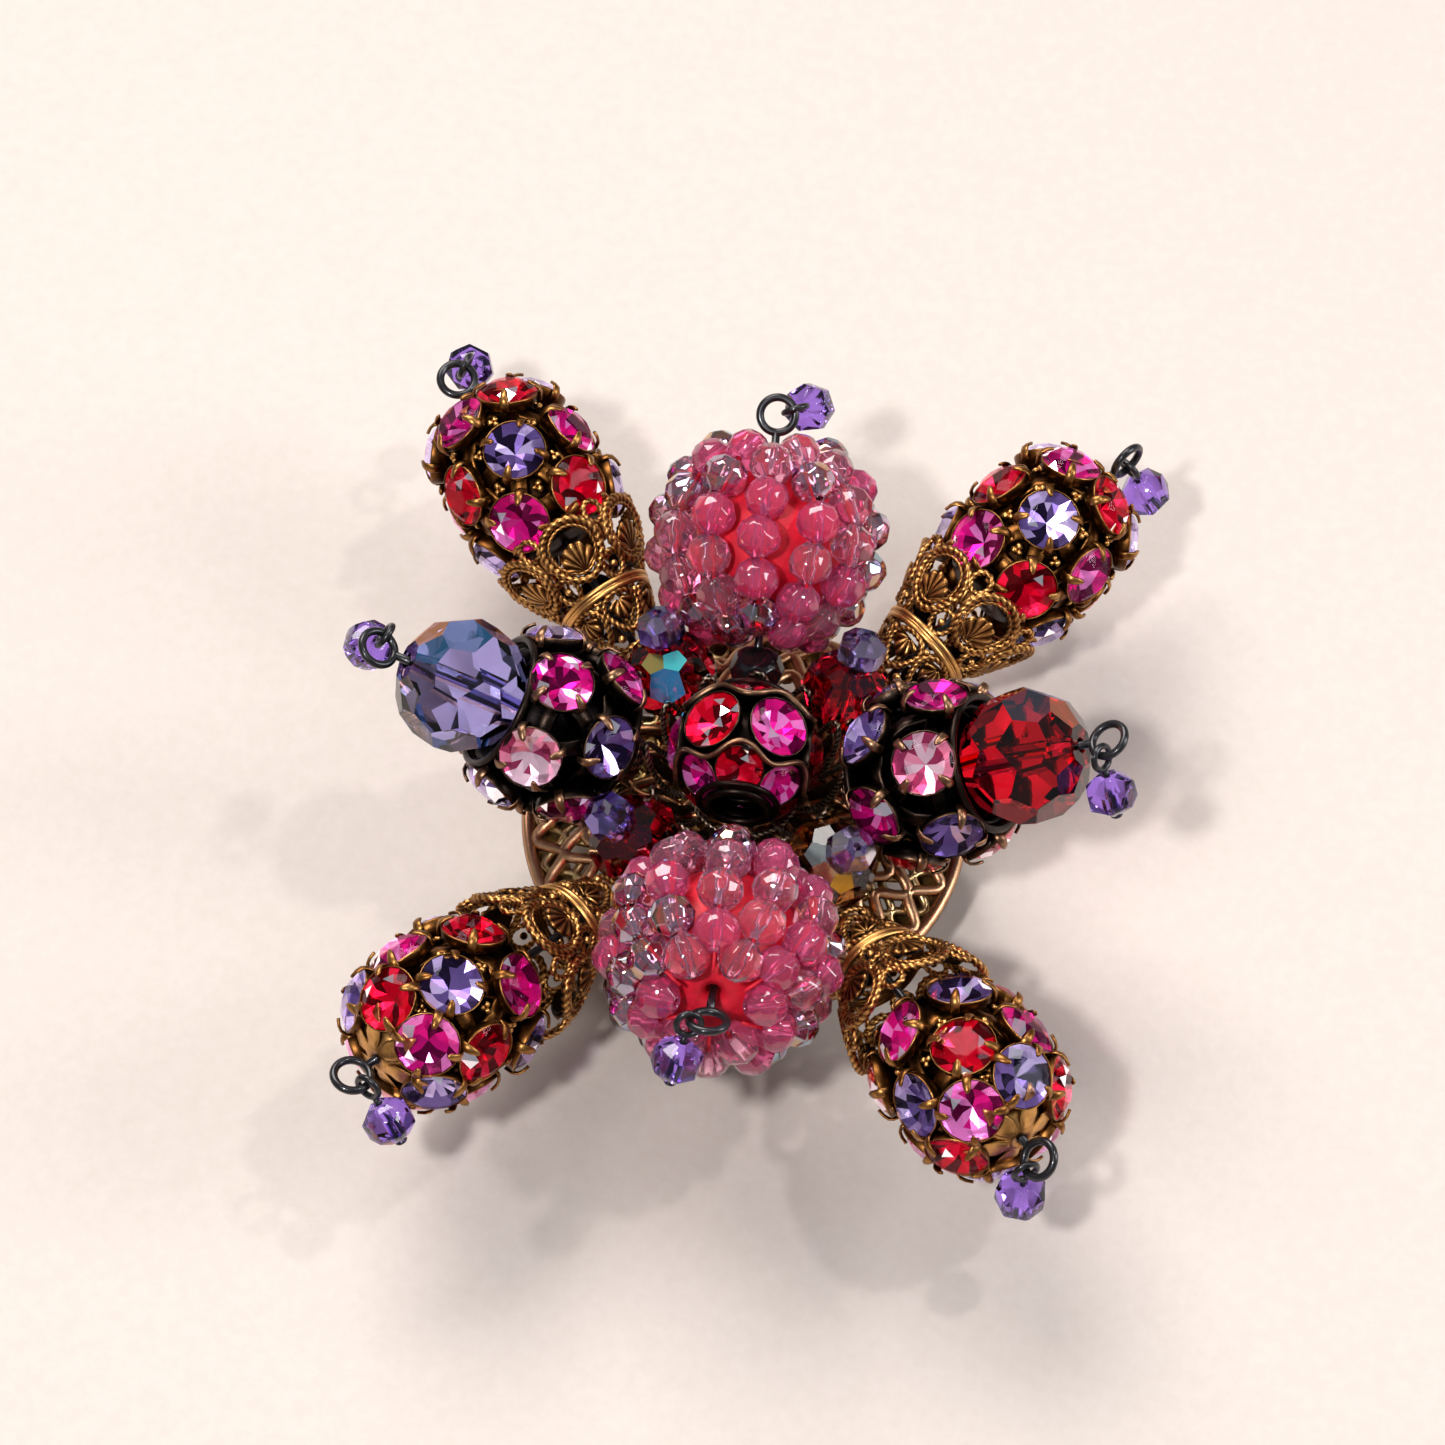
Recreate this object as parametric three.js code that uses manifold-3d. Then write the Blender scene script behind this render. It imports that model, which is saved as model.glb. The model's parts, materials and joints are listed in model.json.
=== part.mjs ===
// Beaded brooch: eight arms of set-stone balls, crystals and bead-wrapped balls on a domed openwork base.
// Millimetres, +Z up. The brooch lies on its back: the back plate's flat face is z = 0 and its centre is
// the origin. Every arm leaves one point above that centre.
import * as THREE from 'three';
import { mergeVertices } from 'three/addons/utils/BufferGeometryUtils.js';
import Module from 'manifold-3d';

const wasm = await Module();
wasm.setup();

// ---- driving dimensions ---------------------------------------------------------------------------
const ARM_ROOT_Z = 3.0;             // height of the point that all arms aim at
const PIN_WIRE = 0.35;              // radius of the black wire
const BORE = 0.7;                   // radius of the holes that the wire runs through

const PLATE = { radius: 18.4, thickness: 0.8, holeRing: 13.6, holes: 10 };
const DOME = { radius: 19.4, rimZ: 1.65, height: 4.15, wall: 0.7 };
const ROSETTE = { base: 6.1, wall: 0.5, ring: 3.1, petals: 12 };
const CENTRE_BALL = { z: 12.9, shell: 5.7, wall: 1.3, end: 4.9, stone: 2.4, smallStone: 1.8,
  smallStoneReach: 5.6, lean: 45 };

const BRASS_BALL = { stone: 2.5, perRow: 6 };
// Distances along the arm are from the ball's centre.
const FILIGREE = { start: -19.3, startRadius: 2.1, waist: -13.9, waistRadius: 4.0, mouth: -6.9, wall: 0.5 };
const DARK_BALL = { stone: 2.4, perRow: 6, rowZ: 2.9, rowRadius: 6.9 };
const CRYSTAL = { beyond: 8.8, radius: 5.5 };
const PINK = { core: 6.7, strandRadius: 8.6, bead: 1.75, strands: 12, poleAngle: 30 };
const JET = { before: 11, radius: 2.2 };
const ACCENT = { radius: 3.6, z: 9.6, tipRadius: 1.9, tipGap: 0.1 };

const EYE = { mean: 1.5 };
const LINK = { mean: 1.0, wire: 0.28, drop: 0.2, stem: 0.25, tip: 5.75, head: 0.55 };
const DANGLE = { radius: 1.85, drop: 3.65 };

const FINDING = { y: 8, barLength: 28, barWidth: 4, barTop: -0.1, barBottom: -0.7, axisZ: -2.8,
  halfSpan: 11.5 };
const EAR = { inner: 0.95, thickness: 0.6, halfWidth: 1.1 };
const STEM = { radius: 0.4, hub: 1.0, hubHalf: 0.8, tipX: 14.2 };
const CATCH = { inner: 0.75, barrel: 1.25, wallRadius: 1.9, mouth: 40, collarInner: 1.35, collarOuter: 1.9 };

// Each arm: its direction in degrees, how far along it the ball and the loop sit, how far the ball is
// rolled on the wire and its two inner rows of stones moved along it, the way its bead hangs, and how far
// its loop is turned round the arm.
const ARMS = [
  { name: 'right', kind: 'dark', azimuth: 0, lift: 32, ballAt: 18.7, loopAt: 35.3, roll: 56,
    hang: [1.6, -2.3, -4.2], twist: 0 },
  { name: 'upper_right', kind: 'brass', azimuth: 50, lift: 9.5, ballAt: 35.0, loopAt: 45.6, roll: 44,
    rowShift: 0, hang: [2.3, -0.4, -4.4], twist: 90 },
  { name: 'top', kind: 'pink', azimuth: 92, lift: 30, ballAt: 22.9, loopAt: 33.7,
    hang: [1.4, 2.9, -3.7], twist: 0 },
  { name: 'upper_left', kind: 'brass', azimuth: 131, lift: 11.5, ballAt: 35.8, loopAt: 46.2, roll: 20,
    rowShift: 0, hang: [0, 2.5, -4.3], twist: 0 },
  { name: 'left', kind: 'dark', azimuth: 178.5, lift: 31.5, ballAt: 19.2, loopAt: 36.0, roll: 30,
    hang: [-2.4, 0.9, -4.4], twist: 0 },
  { name: 'lower_left', kind: 'brass', azimuth: 231, lift: 13, ballAt: 34.7, loopAt: 45.0, roll: 20,
    rowShift: 1.2, hang: [2.7, -2.3, -3.6], twist: 0 },
  { name: 'bottom', kind: 'pink', azimuth: 271.5, lift: 31, ballAt: 23.4, loopAt: 34.1,
    hang: [-1.1, -2.8, -4.0], twist: 0 },
  { name: 'lower_right', kind: 'brass', azimuth: 309.5, lift: 12.5, ballAt: 35.1, loopAt: 45.3, roll: 38,
    rowShift: 1.2, hang: [-0.2, -0.6, -5.0], twist: 40 },
];
const ACCENTS = [
  { name: 'upper_left', azimuth: 131, reach: 11.5, lean: 120 },
  { name: 'upper_right', azimuth: 49, reach: 11.5, lean: 60 },
  { name: 'lower_left', azimuth: 222, reach: 11.3, lean: 200 },
  { name: 'lower_right', azimuth: 317, reach: 11.3, lean: 325 },
];
const ACCENT_LEAN = 66;             // degrees above the base plane

const COLOURS = {
  brass: [0x96601f, 0.4, 0.9], copper: [0x8a5a3a, 0.4, 0.9], gold: [0xb98a4a, 0.4, 0.9],
  dark: [0x2a2320, 0.35, 0.8], wire: [0x1c1c1e, 0.3, 0.8], steel: [0xb9bbbd, 0.3, 0.9],
  jet: [0x101014, 0.15, 0.0], red: [0xa01024, 0.1, 0.1], olive: [0x8c8440, 0.1, 0.2],
  violet: [0x5f3ca0, 0.1, 0.1], blue: [0x6a64b0, 0.05, 0.1], pink: [0xd87890, 0.15, 0.0],
  core: [0xe0182c, 0.4, 0.0],
};

// ---- geometry helpers -----------------------------------------------------------------------------
const degrees = (angle) => THREE.MathUtils.degToRad(angle);
const polar = (radius, angle) => [radius * Math.cos(angle), radius * Math.sin(angle)];

function matrix(position = [0, 0, 0], euler = [0, 0, 0]) {
  const turned = new THREE.Matrix4().makeRotationFromEuler(new THREE.Euler(...euler));
  return turned.setPosition(...position);
}

// A closed three.js geometry as a manifold solid, with its faces pointing out.
function solid(geometry, placement) {
  const bare = geometry.clone();
  bare.deleteAttribute('normal');
  bare.deleteAttribute('uv');
  if (placement) bare.applyMatrix4(placement);
  const merged = mergeVertices(bare, 1e-4);
  const position = merged.attributes.position;
  const corner = (index) => new THREE.Vector3().fromBufferAttribute(position, index);
  const triangles = [];
  let volume = 0;
  for (let i = 0; i < merged.index.count; i += 3) {
    const [a, b, c] = [0, 1, 2].map((k) => merged.index.getX(i + k));
    if (a === b || b === c || c === a) continue;
    triangles.push([a, b, c]);
    volume += corner(a).dot(corner(b).cross(corner(c)));
  }
  const outward = volume > 0 ? triangles : triangles.map(([a, b, c]) => [a, c, b]);
  return new wasm.Manifold(new wasm.Mesh({
    numProp: 3,
    vertProperties: new Float32Array(position.array),
    triVerts: new Uint32Array(outward.flat()),
  }));
}

function geometryOf(body) {
  const mesh = body.getMesh();
  const geometry = new THREE.BufferGeometry();
  geometry.setAttribute('position', new THREE.BufferAttribute(new Float32Array(mesh.vertProperties), 3));
  geometry.setIndex(new THREE.BufferAttribute(new Uint32Array(mesh.triVerts), 1));
  const flat = geometry.toNonIndexed();
  flat.computeVertexNormals();
  return flat;
}

const join = (bodies) => bodies.reduce((whole, body) => whole.add(body));
const cut = (body, tools) => tools.reduce((rest, tool) => rest.subtract(tool), body);

// A profile of [radius, height] points turned round the Z axis.
function lathe(profile, segments, placement) {
  const points = profile.map(([radius, height]) => new THREE.Vector2(radius, height));
  const turned = new THREE.LatheGeometry(points, segments).rotateX(Math.PI / 2);
  return solid(turned, placement);
}

// A round bar along Z from one height to another.
const rod = (radius, from, to, sides, placement) =>
  lathe([[0, from], [radius, from], [radius, to], [0, to]], sides, placement);

// A shell between an outer profile and the same profile drawn in by its wall.
function shell(outer, inner, segments) {
  return lathe([...outer, ...[...inner].reverse(), outer[0]], segments);
}

function prism(outline, from, to, placement) {
  const shape = new THREE.Shape(outline.map(([x, y]) => new THREE.Vector2(x, y)));
  const bar = new THREE.ExtrudeGeometry(shape, { depth: to - from, bevelEnabled: false, steps: 1 });
  return solid(bar.translate(0, 0, from), placement);
}

function oval(halfX, halfY, sides) {
  return Array.from({ length: sides }, (_, i) => {
    const angle = (2 * Math.PI * (i + 0.5)) / sides;
    return [halfX * Math.cos(angle), halfY * Math.sin(angle)];
  });
}

// The placement of something whose own +Z points out of a ball, round the ball's Z axis.
function onBall(radius, height, angle, tilt) {
  const turn = new THREE.Matrix4().makeRotationZ(angle);
  turn.multiply(new THREE.Matrix4().makeTranslation(radius, 0, height));
  return turn.multiply(new THREE.Matrix4().makeRotationY(Math.PI / 2 - tilt));
}

// A faceted stone in its cup, with its widest line at the origin and its flat top outward.
function setStone(radius, depth, placement) {
  const profile = [[0, -depth], [radius, -0.1], [radius * 0.6, 0.8], [0, 0.8]];
  return lathe(profile, 6, placement);
}

function facetedBead(radius, bore, sides) {
  const profile = [[bore, -0.86 * radius], [0.6 * radius, -0.8 * radius], [radius, -0.25 * radius],
    [radius, 0.25 * radius], [0.6 * radius, 0.8 * radius], [bore, 0.86 * radius], [bore, -0.86 * radius]];
  return lathe(profile, sides);
}

const group = new THREE.Group();

function add(parent, name, body, finish) {
  const [color, roughness, metalness] = COLOURS[finish];
  const material = new THREE.MeshStandardMaterial({ color, roughness, metalness });
  const mesh = new THREE.Mesh(geometryOf(body), material);
  mesh.name = name;
  parent.add(mesh);
}

// ---- base -----------------------------------------------------------------------------------------
function backPlate() {
  const plate = rod(PLATE.radius, 0, PLATE.thickness, 30);
  const windows = Array.from({ length: PLATE.holes }, (_, i) => {
    const angle = (2 * Math.PI * (i + 0.5)) / PLATE.holes;
    const [x, y] = polar(PLATE.holeRing, angle);
    return prism(oval(1.9, 3.0, 6), -1, 2, matrix([x, y, 0], [0, 0, angle]));
  });
  return cut(plate, windows);
}

function baseDome() {
  const sphere = (DOME.radius ** 2 + DOME.height ** 2) / (2 * DOME.height);
  const drop = DOME.rimZ + DOME.height - sphere;
  const height = (radius) => drop + Math.sqrt(sphere ** 2 - radius ** 2);
  const radii = [0, 7, 13.5, DOME.radius];
  const outer = radii.map((radius) => [radius, height(radius)]);
  const inner = radii.map((radius) => [radius, height(radius) - DOME.wall]);
  const cap = lathe([...outer, ...inner.reverse()], 24);
  const rows = [
    { radius: 6.6, count: 8, along: 1.7, across: 1.5 },
    { radius: 11.3, count: 12, along: 2.0, across: 1.9 },
    { radius: 16.2, count: 16, along: 2.1, across: 2.1 },
  ];
  const windows = rows.flatMap(({ radius, count, along, across }, row) =>
    Array.from({ length: count }, (_, i) => {
      const angle = (2 * Math.PI * (i + 0.5 * (row % 2))) / count;
      const [x, y] = polar(radius, angle);
      return prism(oval(along, across, 5), 0, 8, matrix([x, y, 0], [0, 0, angle]));
    }));
  return cut(cap, windows);
}

function centreRosette() {
  const { ring, base, wall, petals } = ROSETTE;
  const outer = [[ring, base], [5.8, base + 0.3], [7.1, base + 2.3], [8.0, base + 5.7]];
  const inner = [[ring, base + wall], [5.5, base + 0.3 + wall], [6.6, base + 2.5], [7.5, base + 5.7]];
  const around = (height, half, turn, sides) => Array.from({ length: petals }, (_, i) =>
    prism(oval(half[0], half[1], sides), 3, 12, onBall(0, height, (2 * Math.PI * (i + turn)) / petals, 0)));
  const notches = around(base + 5.9, [1.5, 0.9], 0.5, 4);
  const windows = around(base + 3.1, [1.1, 0.9], 0, 4);
  return cut(shell(outer, inner, 24), [...notches, ...windows]);
}

function centreBall() {
  const { shell: radius, wall, end, stone, smallStone, smallStoneReach, lean } = CENTRE_BALL;
  const sideLean = degrees(lean);
  const arc = [-60, -35, 0, 35, 60].map(degrees);
  const outer = arc.map((angle) => [radius * Math.cos(angle), radius * Math.sin(angle)]);
  const inner = arc.map((angle) => [(radius - wall) * Math.cos(angle), (radius - wall) * Math.sin(angle)]);
  const collars = [1, -1].map((side) => {
    const [low, high] = [side * (end - 0.8), side * (end + 0.4)];
    return lathe([[2.0, low], [3.0, low], [3.0, high], [2.0, high], [2.0, low]], 12);
  });
  const stones = [0, 1, 2, 3, 4, 5].flatMap((i) => {
    const angle = (Math.PI * i) / 3;
    const between = angle + Math.PI / 6;
    const [seat, rise] = polar(smallStoneReach, sideLean);
    return [
      setStone(stone, 0.9, onBall(radius, 0, angle, 0)),
      setStone(smallStone, 0.8, onBall(seat, rise, between, sideLean)),
      setStone(smallStone, 0.8, onBall(seat, -rise, between, -sideLean)),
    ];
  });
  return join([shell(outer, inner, 12), ...collars, ...stones]);
}

// ---- arms -----------------------------------------------------------------------------------------
// Each arm's pieces stand along their own +Z, measured from the point that the arms aim at.
const along = (distance) => matrix([0, 0, distance]);

function brassBall(roll, rowShift) {
  const outer = [[BORE, -7.4], [4.4, -7.2], [6.1, -4], [6.1, 1], [4.5, 5.6], [BORE, 7.8]];
  const inner = [[BORE, -6.0], [3.4, -5.8], [4.8, -3.6], [4.8, 0.7], [3.4, 4.6], [BORE, 6.5]];
  const rows = [
    { radius: 5.0, height: 5.6, tilt: 42, shift: 0.5 },
    { radius: 6.4, height: 0.2 + rowShift, tilt: 4, shift: 0 },
    { radius: 6.0, height: -5.2 + rowShift, tilt: -22, shift: 0.5 },
  ];
  const stones = rows.flatMap(({ radius, height, tilt, shift }) =>
    Array.from({ length: BRASS_BALL.perRow }, (_, i) => {
      const angle = degrees(roll) + (2 * Math.PI * (i + shift)) / BRASS_BALL.perRow;
      return setStone(BRASS_BALL.stone, 0.9, onBall(radius, height, angle, degrees(tilt)));
    }));
  return join([shell(outer, inner, 10), ...stones]);
}

function filigreeBell() {
  const { start, startRadius, waist, waistRadius, mouth, wall } = FILIGREE;
  const outer = [[startRadius, start], [waistRadius, waist - 0.8], [waistRadius, waist + 0.6],
    [6.2, waist + 3.6], [7.5, mouth]];
  const inner = outer.map(([radius, height]) => [radius - wall, height]);
  const inward = Array.from({ length: 6 }, (_, i) =>
    prism(oval(0.85, 1.5, 4), 1, 8, onBall(0, start + 3.2, (Math.PI * i) / 3, 0).multiply(
      new THREE.Matrix4().makeRotationZ(Math.PI / 2))));
  const outward = Array.from({ length: 6 }, (_, i) =>
    prism(oval(1.7, 1.5, 5), 2, 10, onBall(0, mouth - 2.9, (Math.PI * (i + 0.5)) / 3, 0)));
  return cut(shell(outer, inner, 12), [...inward, ...outward]);
}

function darkBall(roll) {
  const { stone, perRow, rowZ, rowRadius } = DARK_BALL;
  const outer = [[1.5, -7.9], [2.7, -7.9], [2.9, -6.9], [6.3, -3.4], [6.4, 2.6], [5.9, 5.0]];
  const inner = [[1.5, -6.0], [2.2, -5.8], [5.0, -2.8], [5.2, 2.0], [4.95, 4.9]];
  const stones = [1, -1].flatMap((side) =>
    Array.from({ length: perRow }, (_, i) => {
      const angle = degrees(roll) + (2 * Math.PI * (i + (side > 0 ? 0 : 0.5))) / perRow;
      return setStone(stone, 0.9, onBall(rowRadius, side * rowZ, angle, degrees(side * 20)));
    }));
  return join([shell(outer, inner, 12), ...stones]);
}

function crystal() {
  const radius = CRYSTAL.radius;
  const half = [[BORE, 5.4], [1.9, 5.2], [4.2, 3.5], [radius, 1.2]];
  const mirrored = half.map(([x, z]) => [x, -z]).reverse();
  return lathe([...half, ...mirrored, half[0]], 9);
}

function pinkCore() {
  const arc = [-84, -58, -30, 0, 30, 58, 84].map(degrees);
  const ball = arc.map((angle) => [PINK.core * Math.cos(angle), PINK.core * Math.sin(angle)]);
  return lathe([...ball, ball[0]], 14);
}

function beadWrap() {
  const { strandRadius, bead, strands, poleAngle } = PINK;
  const steps = 6;
  const strand = (turn) => {
    const points = Array.from({ length: steps + 1 }, (_, i) => {
      const angle = degrees(poleAngle + ((180 - 2 * poleAngle) * i) / steps);
      const [height, reach] = polar(strandRadius, angle);
      return new THREE.Vector3(reach * Math.cos(turn), reach * Math.sin(turn), height);
    });
    const section = new THREE.Shape(oval(bead, bead, 4).map(([x, y]) => new THREE.Vector2(x, y)));
    const path = new THREE.CatmullRomCurve3(points);
    return solid(new THREE.ExtrudeGeometry(section, { steps, extrudePath: path, bevelEnabled: false }));
  };
  const [ringHeight, ringRadius] = polar(strandRadius, degrees(poleAngle));
  const ring = (side) => solid(new THREE.TorusGeometry(ringRadius, 0.9, 4, 12), along(side * ringHeight));
  const turns = Array.from({ length: strands }, (_, i) => (2 * Math.PI * i) / strands);
  return join([ring(1), ring(-1), ...turns.map(strand)]);
}

// The wire runs from inside the base to the loop, whose plane is turned round the arm by its twist.
function eyePin(from, loopAt, twist) {
  const shaft = rod(PIN_WIRE, from, loopAt - EYE.mean, 5);
  const flat = new THREE.TorusGeometry(EYE.mean, PIN_WIRE, 5, 10).rotateX(Math.PI / 2);
  return join([shaft, solid(flat.rotateZ(degrees(twist)), along(loopAt))]);
}

// ---- dangles --------------------------------------------------------------------------------------
function danglePlacement(arm, frame) {
  const centre = new THREE.Vector3(0, 0, arm.loopAt).applyMatrix4(frame);
  const twisted = new THREE.Vector3(0, 1, 0).applyAxisAngle(new THREE.Vector3(0, 0, 1), degrees(arm.twist));
  const normal = twisted.transformDirection(frame);
  const wanted = new THREE.Vector3(...arm.hang).normalize();
  const inLoop = wanted.clone().projectOnPlane(normal).normalize();
  const hinge = new THREE.Vector3().crossVectors(normal, inLoop);
  const contact = centre.addScaledVector(inLoop, EYE.mean);
  const side = new THREE.Vector3().crossVectors(hinge, wanted);
  return new THREE.Matrix4().makeBasis(side, hinge, wanted).setPosition(contact);
}

function dangleLink() {
  const loop = new THREE.TorusGeometry(LINK.mean, LINK.wire, 4, 9).rotateX(Math.PI / 2);
  const ring = solid(loop, along(LINK.drop));
  const stem = rod(LINK.stem, LINK.drop + LINK.mean, LINK.tip, 4);
  const head = rod(LINK.head, LINK.tip - 0.15, LINK.tip + 0.2, 5);
  return join([ring, stem, head]);
}

// ---- pin finding ----------------------------------------------------------------------------------
const findingAt = (x, z = FINDING.axisZ) => matrix([x, FINDING.y, z]);
const acrossFinding = (x) => matrix([x, FINDING.y, FINDING.axisZ], [Math.PI / 2, 0, 0]);

function pinBar() {
  const { barLength, barWidth, barTop, barBottom, axisZ, halfSpan } = FINDING;
  const bar = solid(new THREE.BoxGeometry(barLength, barWidth, barTop - barBottom),
    findingAt(0, (barTop + barBottom) / 2));
  const earHeight = barTop - 0.1 - axisZ + EAR.halfWidth;
  const ears = [-1, 1].map((side) => solid(
    new THREE.BoxGeometry(2 * EAR.halfWidth, EAR.thickness, earHeight),
    matrix([-halfSpan, FINDING.y + side * (EAR.inner + EAR.thickness / 2), barTop - 0.1 - earHeight / 2])));
  return join([bar, ...ears]).subtract(rod(0.55, -4, 4, 8, acrossFinding(-halfSpan)));
}

function hingeRivet() {
  const end = EAR.inner + EAR.thickness + 0.08;
  const profile = [[0, -end - 0.35], [0.8, -end - 0.35], [0.8, -end], [0.47, -end], [0.47, end], [0.8, end],
    [0.8, end + 0.35], [0, end + 0.35]];
  return lathe(profile, 8, acrossFinding(-FINDING.halfSpan));
}

function pinStem() {
  const hub = rod(STEM.hub, -STEM.hubHalf, STEM.hubHalf, 12, acrossFinding(-FINDING.halfSpan));
  const start = -FINDING.halfSpan + 0.7;
  const wire = lathe([[0, start], [STEM.radius, start], [STEM.radius, STEM.tipX - 2.2], [0, STEM.tipX]], 8,
    matrix([0, FINDING.y, FINDING.axisZ], [0, Math.PI / 2, 0]));
  return join([hub, wire]).subtract(rod(0.55, -4, 4, 8, acrossFinding(-FINDING.halfSpan)));
}

// A C-shaped outline whose mouth points along -Y of its own plane, which becomes -Z on the brooch.
function openRing(inner, outer, mouth, steps) {
  const angleAt = (i) => degrees(-90 + mouth + ((360 - 2 * mouth) * i) / steps);
  const round = (radius) => Array.from({ length: steps + 1 }, (_, i) => polar(radius, angleAt(i)));
  return [...round(outer), ...round(inner).reverse()];
}

// Own X becomes the brooch's Y, own Y becomes Z, and own Z becomes X, centred on the stem's line.
function acrossStem(x) {
  const axes = new THREE.Matrix4().makeBasis(
    new THREE.Vector3(0, 1, 0), new THREE.Vector3(0, 0, 1), new THREE.Vector3(1, 0, 0));
  return axes.setPosition(x, FINDING.y, FINDING.axisZ);
}

function catchBody() {
  const place = acrossStem(FINDING.halfSpan);
  const barrel = prism(openRing(CATCH.inner, CATCH.barrel, CATCH.mouth, 8), -1.3, 1.3, place);
  const walls = [-1.3, 0.8].map((from) => {
    const post = solid(new THREE.BoxGeometry(2.4, 1.3, 0.5),
      place.clone().multiply(matrix([0, FINDING.barBottom - 0.1 - FINDING.axisZ - 0.65, from + 0.25])));
    const outline = openRing(CATCH.inner, CATCH.wallRadius, CATCH.mouth, 8);
    return join([prism(outline, from, from + 0.5, place), post]);
  });
  return join([barrel, ...walls]).subtract(rod(CATCH.inner, -3, 3, 8, place));
}

function catchCollar() {
  const place = acrossStem(FINDING.halfSpan);
  const ring = prism(openRing(CATCH.collarInner, CATCH.collarOuter, CATCH.mouth + 3, 14), -0.7, 0.7, place);
  const tab = solid(new THREE.BoxGeometry(1.1, 0.45, 1.4),
    place.clone().multiply(new THREE.Matrix4().makeRotationZ(degrees(-42))).multiply(matrix([2.1, 0, 0])));
  return join([ring, tab]);
}

// ---- assembly -------------------------------------------------------------------------------------
add(group, 'back_plate', backPlate(), 'gold');
add(group, 'base_dome', baseDome(), 'copper');
add(group, 'centre_rosette', centreRosette(), 'copper');
add(group, 'centre_ball', centreBall().transform(
  matrix([0, 0, CENTRE_BALL.z], [Math.PI / 2, 0, 0]).elements), 'dark');
add(group, 'pin_bar', pinBar(), 'steel');
add(group, 'hinge_rivet', hingeRivet(), 'steel');
add(group, 'pin_stem', pinStem(), 'steel');
add(group, 'catch_body', catchBody(), 'steel');
add(group, 'catch_collar', catchCollar(), 'steel');

function armFrame(azimuth, lift) {
  const out = new THREE.Vector3(Math.cos(lift) * Math.cos(azimuth), Math.cos(lift) * Math.sin(azimuth),
    Math.sin(lift));
  const sideways = new THREE.Vector3(-Math.sin(azimuth), Math.cos(azimuth), 0);
  const upward = new THREE.Vector3().crossVectors(out, sideways);
  return new THREE.Matrix4().makeBasis(sideways, upward, out).setPosition(0, 0, ARM_ROOT_Z);
}

const BUILDERS = {
  brass(put, arm) {
    put('filigree_bell', filigreeBell(), arm.ballAt, 'brass');
    put('brass_ball', brassBall(arm.roll, arm.rowShift), arm.ballAt, 'brass');
    put('eye_pin', eyePin(arm.ballAt - 18.4, arm.loopAt, arm.twist), 0, 'wire');
  },
  dark(put, arm) {
    put('dark_ball', darkBall(arm.roll), arm.ballAt, 'dark');
    put('crystal', crystal(), arm.ballAt + CRYSTAL.beyond, arm.name === 'left' ? 'blue' : 'red');
    put('eye_pin', eyePin(arm.ballAt - 8.6, arm.loopAt, arm.twist), 0, 'wire');
  },
  pink(put, arm) {
    put('jet_spacer', facetedBead(JET.radius, BORE, 8), arm.ballAt - JET.before, 'jet');
    put('pink_core', pinkCore(), arm.ballAt, 'core');
    put('bead_wrap', beadWrap(), arm.ballAt, 'pink');
    put('eye_pin', eyePin(arm.ballAt - 13.4, arm.loopAt, arm.twist), 0, 'wire');
  },
};

for (const arm of ARMS) {
  const frame = armFrame(degrees(arm.azimuth), degrees(arm.lift));
  const holder = new THREE.Group();
  holder.applyMatrix4(frame);
  group.add(holder);
  const put = (name, body, distance, finish) =>
    add(holder, `${name}_${arm.name}`, body.transform(along(distance).elements), finish);
  BUILDERS[arm.kind](put, arm);
  const dangle = new THREE.Group();
  dangle.applyMatrix4(danglePlacement(arm, frame));
  group.add(dangle);
  add(dangle, `dangle_link_${arm.name}`, dangleLink(), 'wire');
  add(dangle, `dangle_bead_${arm.name}`, facetedBead(DANGLE.radius, 0.45, 7).transform(
    along(DANGLE.drop).elements), 'violet');
}

for (const { name, azimuth, reach, lean } of ACCENTS) {
  const [x, y] = polar(reach, degrees(azimuth));
  const holder = new THREE.Group();
  holder.applyMatrix4(armFrame(degrees(lean), degrees(ACCENT_LEAN)).setPosition(x, y, ACCENT.z));
  group.add(holder);
  const finish = name === 'lower_right' ? 'olive' : 'red';
  add(holder, `accent_bead_${name}`, facetedBead(ACCENT.radius, 0.5, 7), finish);
  add(holder, `accent_tip_${name}`, facetedBead(ACCENT.tipRadius, 0.5, 7).transform(
    along(0.86 * (ACCENT.radius + ACCENT.tipRadius) + ACCENT.tipGap).elements), 'violet');
}

export default group;
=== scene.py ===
import json
import math
import random
from itertools import combinations

import bmesh
import bpy
from mathutils import Matrix, Vector


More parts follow.
